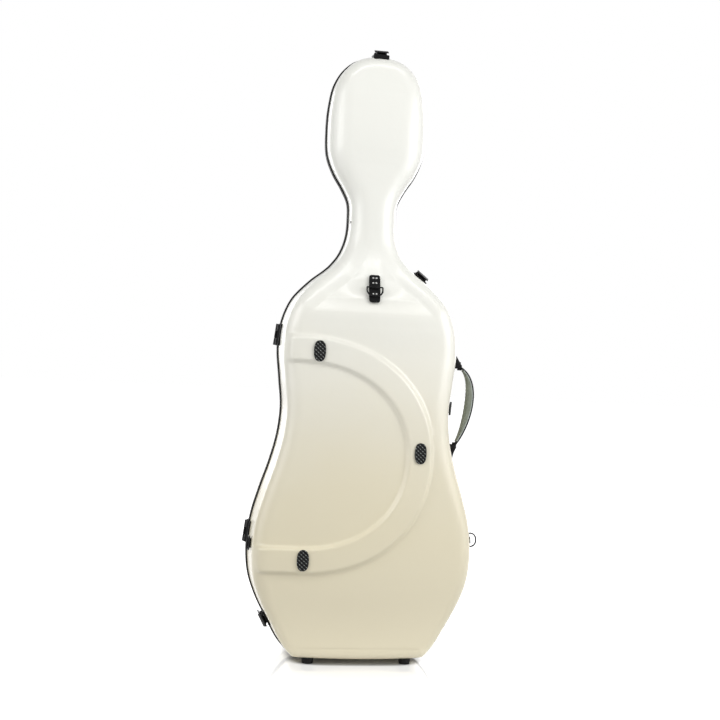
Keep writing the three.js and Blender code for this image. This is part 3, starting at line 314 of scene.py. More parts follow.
def softened(node, name, finish, body, width, segments=2, extra=()):
    """A copy of a CAD node's mesh, merged and freed of flat seams, with rolled edges;
    extra forms, such as rivets, are added to it."""
    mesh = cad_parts[node].data.copy()
    mesh.name = name
    bm = bmesh.new()
    bm.from_mesh(mesh)
    bmesh.ops.remove_doubles(bm, verts=bm.verts, dist=WELD)
    bmesh.ops.dissolve_limit(bm, angle_limit=math.radians(1.5), verts=bm.verts, edges=bm.edges)
    rolled = [e for e in bm.edges if e.is_manifold and e.calc_face_angle() > math.radians(32)]
    bmesh.ops.bevel(bm, geom=rolled, offset=width * MM, segments=segments, profile=0.6,
                    affect="EDGES", clamp_overlap=True)
    for points, faces in extra:
        made = [bm.verts.new(p) for p in points * MM]
        for face in faces:
            corners = list(dict.fromkeys(int(i) for i in face))
            bm.faces.new([made[i] for i in corners])
    bmesh.ops.remove_doubles(bm, verts=bm.verts, dist=WELD)
    bm.to_mesh(mesh)
    bm.free()
    mesh.validate()
    mesh.shade_smooth()
    mesh.set_sharp_from_angle(angle=math.radians(35))
    return place(name, mesh, finish, body, (node,))


def framed(points, matrix):
    """Points of a local frame, set into the case's frame."""
    return points @ matrix[:3, :3].T + matrix[:3, 3]


def frame_of(along, across, out, origin):
    """A matrix whose columns are three directions and a place."""
    matrix = np.eye(4)
    matrix[:3, 0], matrix[:3, 1], matrix[:3, 2], matrix[:3, 3] = along, across, out, origin
    return matrix


def seat_frame(z, side):
    """A frame on the outline: X along it, Y towards the lid, Z outwards."""
    point, normal = outline_at(z, side)
    forward = np.array([0.0, 1.0, 0.0])
    return frame_of(np.cross(forward, normal), forward, normal, point)


def turned_x(angle):
    """A matrix that turns about X."""
    return np.array([[1, 0, 0, 0], [0, math.cos(angle), -math.sin(angle), 0],
                     [0, math.sin(angle), math.cos(angle), 0], [0, 0, 0, 1.0]])


def moved(x, y, z):
    """A matrix that moves."""
    matrix = np.eye(4)
    matrix[:3, 3] = x, y, z
    return matrix


def turned(profile, steps, axis):
    """A profile of (radius, height) carried round an axis, as a grid of points."""
    angle = round_turn(steps)
    radius, height = np.asarray(profile, float).T
    ring = [radius[:, None] * np.cos(angle), radius[:, None] * np.sin(angle),
            np.repeat(height[:, None], steps, 1)]
    return np.stack([ring[(k - axis - 1) % 3] for k in range(3)], axis=-1)


def lathed(profile, steps, matrix, capped=True, axis=2, shift=(0, 0, 0)):
    """A turned form, shifted in its own frame and set into the case's frame."""
    return closed_form(framed(turned(profile, steps, axis) + np.array(shift), matrix), capped)


def rounded_corner_path(corners, bend, steps=6):
    """A polygon in the plane whose corners are drawn as quarter turns of a radius."""
    corners = np.asarray(corners, float)
    before, after = np.roll(corners, 1, 0), np.roll(corners, -1, 0)
    into, away = unit(before - corners), unit(after - corners)
    half = np.arccos(np.clip((into * away).sum(1), -1, 1)) / 2
    cut = bend / np.tan(half)
    start, end = corners + into * cut[:, None], corners + away * cut[:, None]
    t = np.linspace(0, 1, steps + 1)[None, :, None]
    sweep = math.pi - 2 * half
    weight_a = np.sin((1 - t) * sweep[:, None, None]) / np.sin(sweep)[:, None, None]
    weight_b = np.sin(t * sweep[:, None, None]) / np.sin(sweep)[:, None, None]
    centre = corners + unit(into + away) * (bend / np.sin(half))[:, None]
    path = (centre[:, None] + weight_a * (start - centre)[:, None]
            + weight_b * (end - centre)[:, None])
    return path.reshape(-1, 2)


def wire(path, radius, sides=12, closed=True):
    """A round wire along a flat path: at each point a circle in the plane across it."""
    path = np.asarray(path, float)
    if closed:
        run = np.roll(path, -1, 0) - np.roll(path, 1, 0)
    else:
        run = np.gradient(path, axis=0)
    run = unit(run)
    angle = round_turn(sides)
    out = np.column_stack([run[:, 1], -run[:, 0]])
    flat = path[:, None] + out[:, None] * (radius * np.cos(angle))[None, :, None]
    high = np.broadcast_to(radius * np.sin(angle), flat.shape[:2])
    grid = np.concatenate([flat, high[..., None]], axis=-1)
    return np.concatenate([grid, grid[:1]]) if closed else grid


# ---------------------------------------------------------------- finishes

class Flow:
    """An output of a finish's node, so that shader maths reads as sums."""

    def __init__(self, finish, socket):
        self.finish, self.socket = finish, socket

    def __add__(self, other):
        return self.finish.maths("ADD", self, other)

    def __sub__(self, other):
        return self.finish.maths("SUBTRACT", self, other)

    def __rsub__(self, other):
        return self.finish.maths("SUBTRACT", other, self)

    def __mul__(self, other):
        return self.finish.maths("MULTIPLY", self, other)

    def __pow__(self, other):
        return self.finish.maths("POWER", self, other)

    __radd__, __rmul__ = __add__, __mul__


class Finish:
    """A material, or the world, made of nodes; its spot is the piece's own Object
    coordinates."""

    def __init__(self, name, world=False):
        self.material = (bpy.data.worlds if world else bpy.data.materials).new(name)
        self.material.use_nodes = True
        self.tree = self.material.node_tree
        self.tree.nodes.clear()
        self.spot = None if world else self.node("TexCoord", out="Object")

    def node(self, kind, settings=None, values=None, out=0):
        made = self.tree.nodes.new("ShaderNode" + kind)
        for key, value in (settings or {}).items():
            setattr(made, key, value)
        for key, value in (values or {}).items():
            if isinstance(value, Flow):
                self.tree.links.new(value.socket, made.inputs[key])
            else:
                made.inputs[key].default_value = value
        return Flow(self, made.outputs[out])

    def maths(self, kind, a, b):
        return self.node("Math", {"operation": kind}, {0: a, 1: b})

    def clamped(self, value, low, high):
        """The share of value between low and high, eased and kept from 0 to 1."""
        return self.node("MapRange", {"interpolation_type": "SMOOTHSTEP"},
                         {"Value": value, "From Min": low, "From Max": high})

    def axis(self, letter):
        """One of the piece's own coordinates."""
        return self.node("SeparateXYZ", None, {0: self.spot}, out=letter)

    def noise(self, scale, detail, rough, stretch=None):
        """Noise with that many features a metre, stretched along the axes if asked."""
        where = self.spot
        if stretch:
            where = self.node("Mapping", None, {"Vector": where, "Scale": stretch})
        return self.node("TexNoise", None, {"Vector": where, "Scale": scale, "Detail": detail,
                                            "Roughness": rough})

    def blend(self, share, a, b):
        """Colour a where share is 0, colour b where it is 1, each a link or as seen."""
        colours = {key: value if isinstance(value, Flow) else (*colour(*value), 1)
                   for key, value in ((6, a), (7, b))}
        return self.node("Mix", {"data_type": "RGBA"}, {0: share, **colours}, out=2)

    def surface(self, base, rough, relief, depth, others=None):
        """Ends the finish in its shader: a colour, a roughness, a relief whose full range
        stands for that many metres, and values for the shader's other sockets."""
        bump = self.node("Bump", None, {"Height": relief, "Distance": depth, "Strength": 1.0})
        self.end(self.node("BsdfPrincipled", None, {
            "Base Color": base, "Roughness": rough, "Normal": bump, **(others or {})}))
        return self.material

    def end(self, shader, kind="Material"):
        """Links a shader to the finish's output."""
        output = self.tree.nodes.new("ShaderNodeOutput" + kind)
        self.tree.links.new(shader.socket, output.inputs["Surface"])

    def seen(self):
        """One where a camera, glossy or transmission ray meets the surface."""
        rays = [self.node("LightPath", out=f"Is {kind} Ray")
                for kind in ("Camera", "Glossy", "Transmission")]
        return self.maths("MAXIMUM", self.maths("MAXIMUM", rays[0], rays[1]), rays[2])


def colour(red, green, blue):
    """A colour as seen on screen, 0 to 255, to the linear values of a shader."""
    share = np.array([red, green, blue]) / 255
    linear = np.where(share <= 0.04045, share / 12.92, ((share + 0.055) / 1.055) ** 2.4)
    return tuple(float(v) for v in linear)


def pearl_shell():
    """Satin pearl over ivory, with painted light: beige low down and whiter towards the top,
    the change wavered by soft noise; fine flake in the gloss, a faint moulded ripple and light
    scuffs where hands and floors touch."""
    f = Finish("ivory_pearl")
    # Painted light: the colour runs from beige low down to whiter towards the top, wavered by noise
    painted_light_waver = f.noise(3.5, 3, 0.55)
    height = f.axis("Z")
    high = f.clamped(height + painted_light_waver * 0.2, 0.34, 0.96)
    painted_light_tone = f.blend(high, (228, 219, 191), (236, 236, 229))
    grime = f.noise(60, 4, 0.65) * (1 - f.clamped(height, 0.0, 0.09))
    base = f.blend(f.clamped(grime, 0.45, 0.9) * 0.35, painted_light_tone, (196, 188, 163))
    flake = f.noise(1800, 1, 0.4)
    scuff = f.clamped(f.noise(14, 6, 0.7, stretch=(1, 1, 6)), 0.62, 0.8)
    rough = 0.34 + flake * 0.08 + scuff * 0.08
    ripple = f.noise(38, 2, 0.5) * 0.6 + flake * 0.012
    return f.surface(base, rough, ripple, 0.0006, {
        "Specular IOR Level": 0.5, "Coat Weight": 0.6, "Coat Roughness": 0.2})


def black_trim():
    """Black moulded plastic with a fine leathery grain and paler rubbed patches."""
    f = Finish("black_trim")
    rub = f.clamped(f.noise(45, 5, 0.65), 0.56, 0.78)
    base = f.blend(rub * 0.5, (12, 12, 13), (46, 46, 47))
    grain = f.node("TexVoronoi", {"feature": "F1"}, {"Vector": f.spot, "Scale": 1400.0},
                   out="Distance")
    return f.surface(base, 0.42 + rub * 0.14, grain, 0.00012, {"Specular IOR Level": 0.2})


def coated_metal():
    """Black coated metal: a fine powder texture, rubbed lighter here and there."""
    f = Finish("black_hardware")
    rub = f.clamped(f.noise(160, 5, 0.7), 0.6, 0.8)
    base = f.blend(rub, (11, 11, 12), (38, 38, 38))
    powder = f.noise(2600, 2, 0.6)
    return f.surface(base, 0.46 + powder * 0.12, powder, 0.00006, {"Specular IOR Level": 0.1})


def drawn_wire(name="dark_steel", tone=(26, 26, 27), rough=0.3):
    """Drawn wire: dark metal with fine streaks and a few worn spots."""
    f = Finish(name)
    streak = f.noise(900, 3, 0.6, stretch=(1, 1, 0.15))
    worn = f.clamped(f.noise(120, 4, 0.6), 0.58, 0.8)
    base = f.blend(worn * 0.7 + streak * 0.2, tone, [t + 34 for t in tone])
    return f.surface(base, rough + streak * 0.16, streak, 0.00004, {"Metallic": 1.0})


def matt_rubber():
    """Matt rubber with a dusty bloom and a fine skin."""
    f = Finish("black_rubber")
    bloom = f.clamped(f.noise(70, 5, 0.7), 0.45, 0.85)
    base = f.blend(bloom, (16, 16, 16), (26, 26, 26))
    skin = f.noise(1500, 3, 0.6)
    return f.surface(base, 0.72 + bloom * 0.16, skin, 0.0001, {"Specular IOR Level": 0.2})


def knurled_rubber():
    """Black rubber whose ridges, two crossing sets of waves, carry a painted highlight: a pale
    colour on their tops, stronger or weaker by noise.
    """
    f = Finish("knurled_rubber")
    flat = [f.axis(letter) for letter in "XZ"]
    sets = []
    for a, b in KNURL:
        turns = flat[0] * (a / MM) + flat[1] * (b / MM)
        sets.append(f.node("Math", {"operation": "COSINE"}, {0: turns * (2 * math.pi)}))
    # Painted highlight: pale colour on the tops of the ridges
    painted_ridge_glint = f.clamped(sets[0], 0.6, 0.95) * (0.2 + 0.8 * f.clamped(sets[1], 0.1, 0.9))
    # This noise sets how strong the painted highlight is, and the roughness
    worn = f.noise(300, 3, 0.6)
    base = f.blend(painted_ridge_glint * (0.5 + worn * 0.6), (6, 6, 6), (176, 182, 178))
    skin = f.noise(1500, 3, 0.6)
    return f.surface(base, 0.6 + worn * 0.2, skin, 0.0001, {"Specular IOR Level": 0.2})


def grip_skin(name="grip_pad", tone=(126, 131, 118)):
    """Soft grey-green grip: pebbled skin, darker where it is held."""
    f = Finish(name)
    height = f.axis("Z")
    held = f.clamped(height, 0.5, 0.55) * (1 - f.clamped(height, 0.57, 0.62))
    wear = f.noise(55, 4, 0.6)
    base = f.blend(f.clamped(wear, 0.35, 0.7), tone, [t + 18 for t in tone])
    base = f.blend(held * 0.25, base, [t - 22 for t in tone])
    pebble = f.node("TexVoronoi", {"feature": "SMOOTH_F1"}, {"Vector": f.spot, "Scale": 900.0},
                    out="Distance")
    return f.surface(base, 0.62 + wear * 0.14, pebble, 0.00025)


def plush(name="plush_lining", tone=(64, 66, 73), shade=(98, 101, 109)):
    """Short plush: brushed patches, a nap of fine tufts and a soft sheen."""
    f = Finish(name)
    brushed = f.noise(34, 5, 0.65, stretch=(1, 1, 0.5))
    tuft = f.noise(1300, 3, 0.7)
    base = f.blend(f.clamped(brushed + tuft * 0.5, 0.3, 1.2), tone, shade)
    return f.surface(base, 0.92, tuft + brushed * 0.4, 0.0007, {
        "Sheen Weight": 0.45, "Sheen Roughness": 0.4, "Specular IOR Level": 0.15})


def webbing():
    """Woven strap: warp and weft as two waves across each other, with loose fibres."""
    f = Finish("strap_webbing")
    warp = f.node("TexWave", {"bands_direction": "X"}, {"Vector": f.spot, "Scale": 190.0})
    weft = f.node("TexWave", {"bands_direction": "Z"}, {"Vector": f.spot, "Scale": 260.0})
    fibre = f.noise(2400, 2, 0.6)
    weave = warp * 0.6 + weft * 0.4 + fibre * 0.2
    base = f.blend(f.clamped(weave, 0.3, 1.0), (30, 31, 34), (62, 64, 69))
    return f.surface(base, 0.88, weave, 0.0005, {"Sheen Weight": 0.3})


# Each finish and the record's slot that it fills
PEARL = (pearl_shell(), "ivory_shell")
TRIM = (black_trim(), "black_trim")
METAL = (coated_metal(), "black_hardware")
WIRE = (drawn_wire(), "dark_steel")
STUD = (drawn_wire("grey_stud", (150, 150, 148), 0.28), "grey_stud")
RUBBER = (matt_rubber(), "black_rubber")
KNURLED = (knurled_rubber(), "black_rubber")
GRIP = (grip_skin(), "grip_pad")
# A pale tone for the welt along the grip's edge: a painted highlight
WELT_HIGHLIGHT = (grip_skin("grip_highlight_welt", (176, 184, 178)), "grip_pad")
PLUSH = (plush(), "plush_lining")
PADDING = (plush("plush_padding", (74, 76, 83), (110, 113, 121)), "plush_lining")
WEBBING = (webbing(), "plush_lining")


# ---------------------------------------------------------------- shells, linings, rims

def envelope(rows, side, grow, start, arc, face, rise=None):
    """Skin of a shell: each row runs up the drafted wall, over the rounded edge, across
    the face and down the other side; rise adds to the face's height."""
    edge, _, depth, radius = face_edge(rows, side, grow)
    edge, straight = edge[:, None], depth - radius
    angle = np.linspace(0, math.pi / 2, arc + 1)
    walls = np.linspace(0, 1, 4)[:-1]
    wall_depth = start + (straight[:, None] - start) * walls
    arc_depth = straight[:, None] + radius[:, None] * np.sin(angle)
    deep = np.hstack([wall_depth, arc_depth])
    turn = TURN_REACH * (1 - np.cos(angle).clip(0) ** (2 / TURN_POWER))
    inset = np.hstack([
        DRAFT * wall_depth - grow,
        DRAFT * straight[:, None] - grow + radius[:, None] * turn,
    ])
    x = rows[:, :1] - rows[:, 5:6] * inset
    z = rows[:, 1:2] - rows[:, 6:7] * inset
    deep[:, 3:] += face_swell(side, edge, x[:, 3:], z[:, 3:])
    share = 1 - 2 * np.arange(1, face) / face
    face_x = x[:, -1:] * share
    face_z = np.broadcast_to(z[:, -1:], face_x.shape)
    face_y = straight[:, None] + radius[:, None] + face_swell(side, edge, face_x, face_z)
    x = np.hstack([x, face_x, -x[:, ::-1]])
    z = np.hstack([z, face_z, z[:, ::-1]])
    y = np.hstack([deep, face_y, deep[:, ::-1]])
    if rise is not None:
        y = y + np.where(y > FACE_FROM, rise(x, z), 0)
    return np.stack([x, side * y, z], axis=-1)


def double_skin(name, outer, inner, finish, body, node):
    """Builds an outer and an inner skin, closed to each other over their edges."""
    form = closed_form(np.concatenate([outer, inner[:, ::-1]], axis=1), capped=False)
    build(name, [form], finish, body, (node,), 30)


def shell_piece(name, side, body, node, count, face, rise=None):
    """Outer skin and, closed to it over the edge, the inner skin one wall further in."""
    rows = outline_rows(count)
    outer = envelope(rows, side, 0.0, SHELL_START, 18, face, rise)
    inner = envelope(rows, side, -WALL, SHELL_START, 4, 14)
    double_skin(name, outer, inner, PEARL, body, node)


def lining_piece(name, side, body, node):
    """The plush tray inside a shell, one gap off it."""
    rows = outline_rows(300)
    skin = -(WALL + 2 * FIT)
    outer = envelope(rows, side, skin, SHELL_START + FIT, 6, 30)
    inner = envelope(rows, side, skin - LINING, SHELL_START + FIT, 6, 30)
    double_skin(name, outer, inner, PLUSH, body, node)


def around(section, count):
    """A section of (out, depth) carried round the whole outline, over this many rows a side."""
    rows = outline_rows(count, 1.0)
    loop = np.vstack([rows, rows[-2:0:-1] * np.array([-1, 1, 1, 1, 1, -1, 1])])
    section = np.asarray(section, float)
    x = loop[:, :1] + loop[:, 5:6] * section[:, 0]
    z = loop[:, 1:2] + loop[:, 6:7] * section[:, 0]
    y = np.broadcast_to(section[:, 1], x.shape)
    grid = np.stack([x, y, z], axis=-1)
    return closed_form(np.concatenate([grid, grid[:1]]), capped=False)


def rim_pieces():
    """The two black rims. The outer face is rounded, with a shallow bead line; the lid's
    carries a sealing tongue that enters the groove of the back's."""
    bulge = [(2.2, 0.3), (2.8, 0.9), (3.0, 2.0), (2.75, 3.1), (2.75, 3.7), (3.0, 4.6), (2.8, 6.1),
             (2.2, 6.9)]
    tail = [(-6.2, 6.9), (-6.6, 6.4), (-6.6, 0.8), (-6.2, 0.3)]
    groove = [(-4.3, 0.3), (-4.3, 2.6), (-1.7, 2.6), (-1.7, 0.3)]
    back = [(out, -deep) for out, deep in bulge + tail + groove]
    build("rim_of_back", [around(back, 450)], TRIM, "back", ("back_rim",), 38)
    tongue = [(-4.0, 0.3), (-3.8, -2.2), (-3.5, -2.3), (-2.5, -2.3), (-2.2, -2.2), (-2.0, 0.3)]
    lid = bulge + tail + tongue
    build("rim_of_lid", [around(lid, 450)], TRIM, "lid", ("lid_rim",), 38)


# ---------------------------------------------------------------- rests, feet, stud

def superoval(angle, half_wide, half_tall, power):
    """Points of an oval whose two shares, each raised to the power, add up to one."""
    c, s = np.cos(angle), np.sin(angle)
    return np.stack([half_wide * np.sign(c) * np.abs(c) ** (2 / power),
                     half_tall * np.sign(s) * np.abs(s) ** (2 / power)], -1)


def rest_piece(name, node, x, z):
    """A rubber rest: an oval on polar rings that follows the crescent, with a raised
    frame and, inside it, ribs that run down to the right."""
    rings, steps = 84, 150
    wide, tall, proud = 25.0, 44.0, 4.0
    rim = superoval(round_turn(steps), wide / 2, tall / 2, 2.5)
    share = np.concatenate([[1.0, 1.0], np.linspace(1, 0, rings)])[:, None, None]
    flat = rim[None] * share
    px, pz = flat[..., 0], flat[..., 1]
    gx, gz = x + px, z + pz
    inset = (1 - share[..., 0]) * wide / 2
    edge = proud - 1.2 + 1.2 * np.sqrt(np.clip(1 - (1 - np.clip(inset / 1.2, 0, 1)) ** 2, 0, 1))
    field = smooth(inset, 1.6, 2.1)
    down, cross = (np.cos(2 * math.pi * (gx * a + gz * b)) for a, b in KNURL)
    stud = smooth(down, -0.2, 0.8) * (0.35 + 0.65 * smooth(cross, -0.3, 0.7))
    up = edge - field * (1.6 - 1.5 * stud)
    up[0], up[1] = 0.0, proud - 1.3
    rise = np.broadcast_to(crescent_rise(x, z), px.shape)
    skirt = np.minimum(crescent_rise(gx, gz), rise)
    level = face_depth(-1, gx, gz) + rise
    level[0] = (face_depth(-1, gx, gz) + skirt)[0] - 0.4
    grid = np.stack([gx, -(level + up), gz], -1)
    build(name, [closed_form(grid)], KNURLED, "back", (node,), 50)


def foot_piece(name, node, body, x, y):
    """A rubber foot, turned: a rounded sole, a groove and a straight shank."""
    top = SHELL_BOTTOM + FLOOR_RISE + 4.5
    profile = [(0, 0), (10.2, 0), (11.2, 0.3), (11.7, 1.0), (12.2, 4.2), (11.7, 4.5), (11.7, 5.1),
               (12.4, 5.4), (13.0, top), (0, top)]
    build(name, [lathed(profile, 40, moved(x, y, 0))], RUBBER, body, (node,), 35)


# ---------------------------------------------------------------- latches and rings

# Each latch's height and side
LATCHES = {"top": (1307.0, 1), "shoulder": (830.0, 1), "waist": (551.0, 1),
           "lower_right": (86.0, 1), "lower_left": (86.0, -1)}
# In a latch's frame, towards the lid and outwards: the lever's and bail's pivots, the bar
LEVER_PIVOT, BAIL_PIVOT, BAIL_BAR = (-14, 8), (-24, 6.5), (15, 7)
LEVER_REST, BAIL_REST = math.radians(5), math.radians(4.5)
EAR_INNER, EAR_THICK, LEVER_SIDE, BAIL_WIRE = 7, 2, 1.5, 1.4
RIVET_RADIUS, RIVET_LOW, RIVET_PROUD = 1.9, 1.7, 0.9
RING_WIRE, TOP_RING_Z, TOP_PLATE_TALL = 1.6, 800.0, 60.0


def rivets(matrix, spots):
    """Domed rivet heads on a plate, at places in the plate's frame."""
    radius, low, proud = RIVET_RADIUS, RIVET_LOW, RIVET_PROUD
    profile = [(0, low), (radius, low), (radius, low + proud * 0.35),
               (radius * 0.75, low + proud * 0.8), (0, low + proud)]
    return [lathed(profile, 16, matrix, False, shift=(x, y, 0)) for x, y in spots]


def latch_pieces(name, z, side):
    """Plate, lever and keeper with rolled edges and rivets, and the wire bail."""
    matrix = seat_frame(z, side)
    plate = rivets(matrix, [(-13, -43), (13, -43), (-13, -12.5), (13, -12.5)])
    stop = np.array([[(x, -43, 1.6), (x, -43, 3.3), (x, -34.6, 8.8), (x, -31, 8.8), (x, -31, 1.6)]
                     for x in (-8.6, 8.6)])
    plate.append(closed_form(framed(stop, matrix)))
    softened(f"{name}_latch_plate", f"{name}_clasp_plate", METAL, "back", 0.5, extra=plate)
    softened(f"{name}_latch_lever", f"{name}_clasp_lever", METAL, f"{name}_lever", 0.4)
    keeper = rivets(matrix, [(-11, 22), (11, 22)])
    softened(f"{name}_latch_keeper", f"{name}_clasp_keeper", METAL, "lid", 0.4, extra=keeper)
    dy, dn = BAIL_PIVOT[0] - LEVER_PIVOT[0], BAIL_PIVOT[1] - LEVER_PIVOT[1]
    y = LEVER_PIVOT[0] + dy * math.cos(LEVER_REST) + dn * math.sin(LEVER_REST)
    n = LEVER_PIVOT[1] - dy * math.sin(LEVER_REST) + dn * math.cos(LEVER_REST)
    along, up = BAIL_BAR[0] - BAIL_PIVOT[0], BAIL_BAR[1] - BAIL_PIVOT[1]
    local = matrix @ moved(0, y, n) @ turned_x(math.atan2(up, along) + BAIL_REST)
    middle = EAR_INNER + EAR_THICK + LEVER_SIDE + 2 * FIT + BAIL_WIRE
    reach = math.hypot(along, up)
    corners = [(-middle, 2.6), (-middle, reach), (middle, reach), (middle, 2.6)]
    bent = rounded_corner_path(corners, 3.0)[7:21]
    path = np.vstack([[-middle, 2.6], bent, [middle, 2.6]])
    forms = [closed_form(framed(wire(path, BAIL_WIRE, 14, closed=False), local))]
    eye = [(1.75, -1.2), (1.9, -1.4), (2.7, -1.4), (3.0, -1.1), (3.0, 1.1), (2.7, 1.4), (1.9, 1.4),
           (1.75, 1.2), (1.75, -1.2)]
    for way in (-1, 1):
        forms.append(lathed(eye, 24, local, False, axis=0, shift=(way * middle, 0, 0)))
    build(f"{name}_clasp_bail", forms, WIRE, f"{name}_bail", (f"{name}_latch_bail",), 40)


def ring_path(bar, bow, bend):
    """A D laid flat: its bar on the X axis, its bow towards +Y."""
    half = bar / 2
    corners = [(half, 0), (half, bow), (-half, bow), (-half, 0)]
    path = rounded_corner_path(corners, 1.0, 3)
    wide = rounded_corner_path(corners, bend, 10)
    return np.vstack([path[:4], wide[11:33], path[12:]])


def d_ring(name, local, bar, bow, bend):
    """A round wire bent to a D, in the frame of its joint."""
    form = closed_form(framed(wire(ring_path(bar, bow, bend), RING_WIRE), local), capped=False)
    build(f"{name}_d_ring", [form], WIRE, f"{name}_ring", (f"{name}_strap_ring",), 60)


def ring_pieces():
    """The three D-rings, each a round wire bent flat, in its anchor's frame."""
    height = RING_WIRE + 2 * FIT + 2.2
    lean = np.array([0, HANDLE_Y, DRAFT * HANDLE_Y])
    for name, z, side, turn in (("right", 266.0, 1, math.pi / 2),
                                ("left", 250.0, -1, math.pi + math.radians(6))):
        matrix = seat_frame(z, side) @ moved(*lean)
        softened(f"{name}_ring_anchor", f"{name}_ring_bridge", METAL, "back", 0.4)
        d_ring(name, matrix @ moved(0, 0, height) @ turned_x(turn), 29, 15, 12)
    z, tall = TOP_RING_Z, TOP_PLATE_TALL
    slope = (face_depth(-1, 0.0, z + tall / 2) - face_depth(-1, 0.0, z - tall / 2)) / tall
    matrix = moved(0, -face_depth(-1, 0.0, z), z) @ turned_x(math.pi / 2 + math.atan(slope))
    bar = tall * 0.03
    local = matrix @ moved(0, bar, height) @ turned_x(math.pi - math.radians(4))
    d_ring("top", local, 34, 20, 14)
    top_plate(matrix, bar, height)


def top_plate(matrix, bar, height):
    """The top ring's plate: a bowed oblong that follows the back, on polar rings with a
    rolled edge, a bridge tube over the ring's bar, and three pairs of rivets."""
    rim = superoval(round_turn(96), 12.0, 29.6, 7.0)
    share = np.concatenate([[1.0, 1.0, 0.98, 0.95], np.linspace(0.9, 0, 24)])[:, None, None]
    flat = rim[None] * share
    up = np.interp(1 - share[..., 0], [0, 0.02, 0.05, 1], [1.8, 2.2, 2.4, 2.4])
    up = np.broadcast_to(up, flat.shape[:2]).copy()
    up[0] = -0.6
    x, z = flat[..., 0], TOP_RING_Z + flat[..., 1]
    skin = np.stack([x, -(face_depth(-1, x, z) + up), z], -1)
    tube = [(0, -8.8), (3.2, -8.8), (3.7, -8.3), (3.7, 8.3), (3.2, 8.8), (0, 8.8)]
    saddle = lathed(tube, 28, matrix, False, axis=0, shift=(0, bar, height - 0.4))
    build("top_ring_strap_plate", [closed_form(skin), saddle], METAL, "back",
          ("top_ring_anchor",), 50)
    head = [(0, 0), (1.9, 0), (1.9, 0.5), (1.4, 1.0), (0, 1.25)]
    forms = []
    for z in (TOP_RING_Z + TOP_PLATE_TALL * row for row in (-0.19, 0.2, 0.38)):
        for x in (-3.4, 3.4):
            depth = float(face_depth(-1, x, z)) + 2.2
            forms.append(lathed(head, 16, moved(x, -depth, z) @ turned_x(math.pi / 2), False))
    build("top_plate_rivets", forms, STUD, "back", (), 40)


# ---------------------------------------------------------------- handle

HANDLE_PIVOTS = (474.0, 636.0)
# How far the pivots stand off the wall, the ends run past them, and the bow's two handles
HANDLE_STAND, PAST_LOW, PAST_HIGH = 14.5, 5.5, 8.0
BOW_LOW, BOW_HIGH = (38.5, 48.0), (52.0, -20.0)
# The grip's ends as shares of the bow, and its ribs
GRIP_FROM, GRIP_TO, GRIP_RIBS = 0.06, 0.93, 17


def bow_curve(share):
    """The handle's bow: points and inward normals of a cubic whose ends lie on the line
    through the two pivots, a little past them."""
    low, high = (np.array([outline_at(z, 1)[0][0] + DRAFT * HANDLE_Y + HANDLE_STAND, z])
                 for z in HANDLE_PIVOTS)
    run = (high - low) / np.linalg.norm(high - low)
    p = np.array([low - run * PAST_LOW, low + BOW_LOW, high + BOW_HIGH, high + run * PAST_HIGH])
    t = np.asarray(share)[:, None]
    point = ((1 - t) ** 3 * p[0] + 3 * (1 - t) ** 2 * t * p[1] + 3 * (1 - t) * t**2 * p[2]
             + t**3 * p[3])
    run = (3 * (1 - t) ** 2 * (p[1] - p[0]) + 6 * (1 - t) * t * (p[2] - p[1])
           + 3 * t**2 * (p[3] - p[2]))
    run = unit(run)
    return point, np.column_stack([-run[:, 1], run[:, 0]])


def bow_strip(share, section):
    """Sections of (across, inwards), one a share of the bow, as a grid."""
    point, inward = bow_curve(share)
    x = point[:, :1] + inward[:, :1] * section[..., 1]
    z = point[:, 1:] + inward[:, 1:] * section[..., 1]
    return np.stack([x, HANDLE_Y + section[..., 0], z], axis=-1)


def pivot_frame(spot, way, axis):
    """A frame at a pivot of the handle: Z along its axis, outwards, and Y as the case's."""
    out = way * np.array([axis[0], 0, axis[1]])
    across = np.array([0, 1.0, 0])
    return frame_of(np.cross(across, out), across, out, (spot[0], HANDLE_Y, spot[1]))


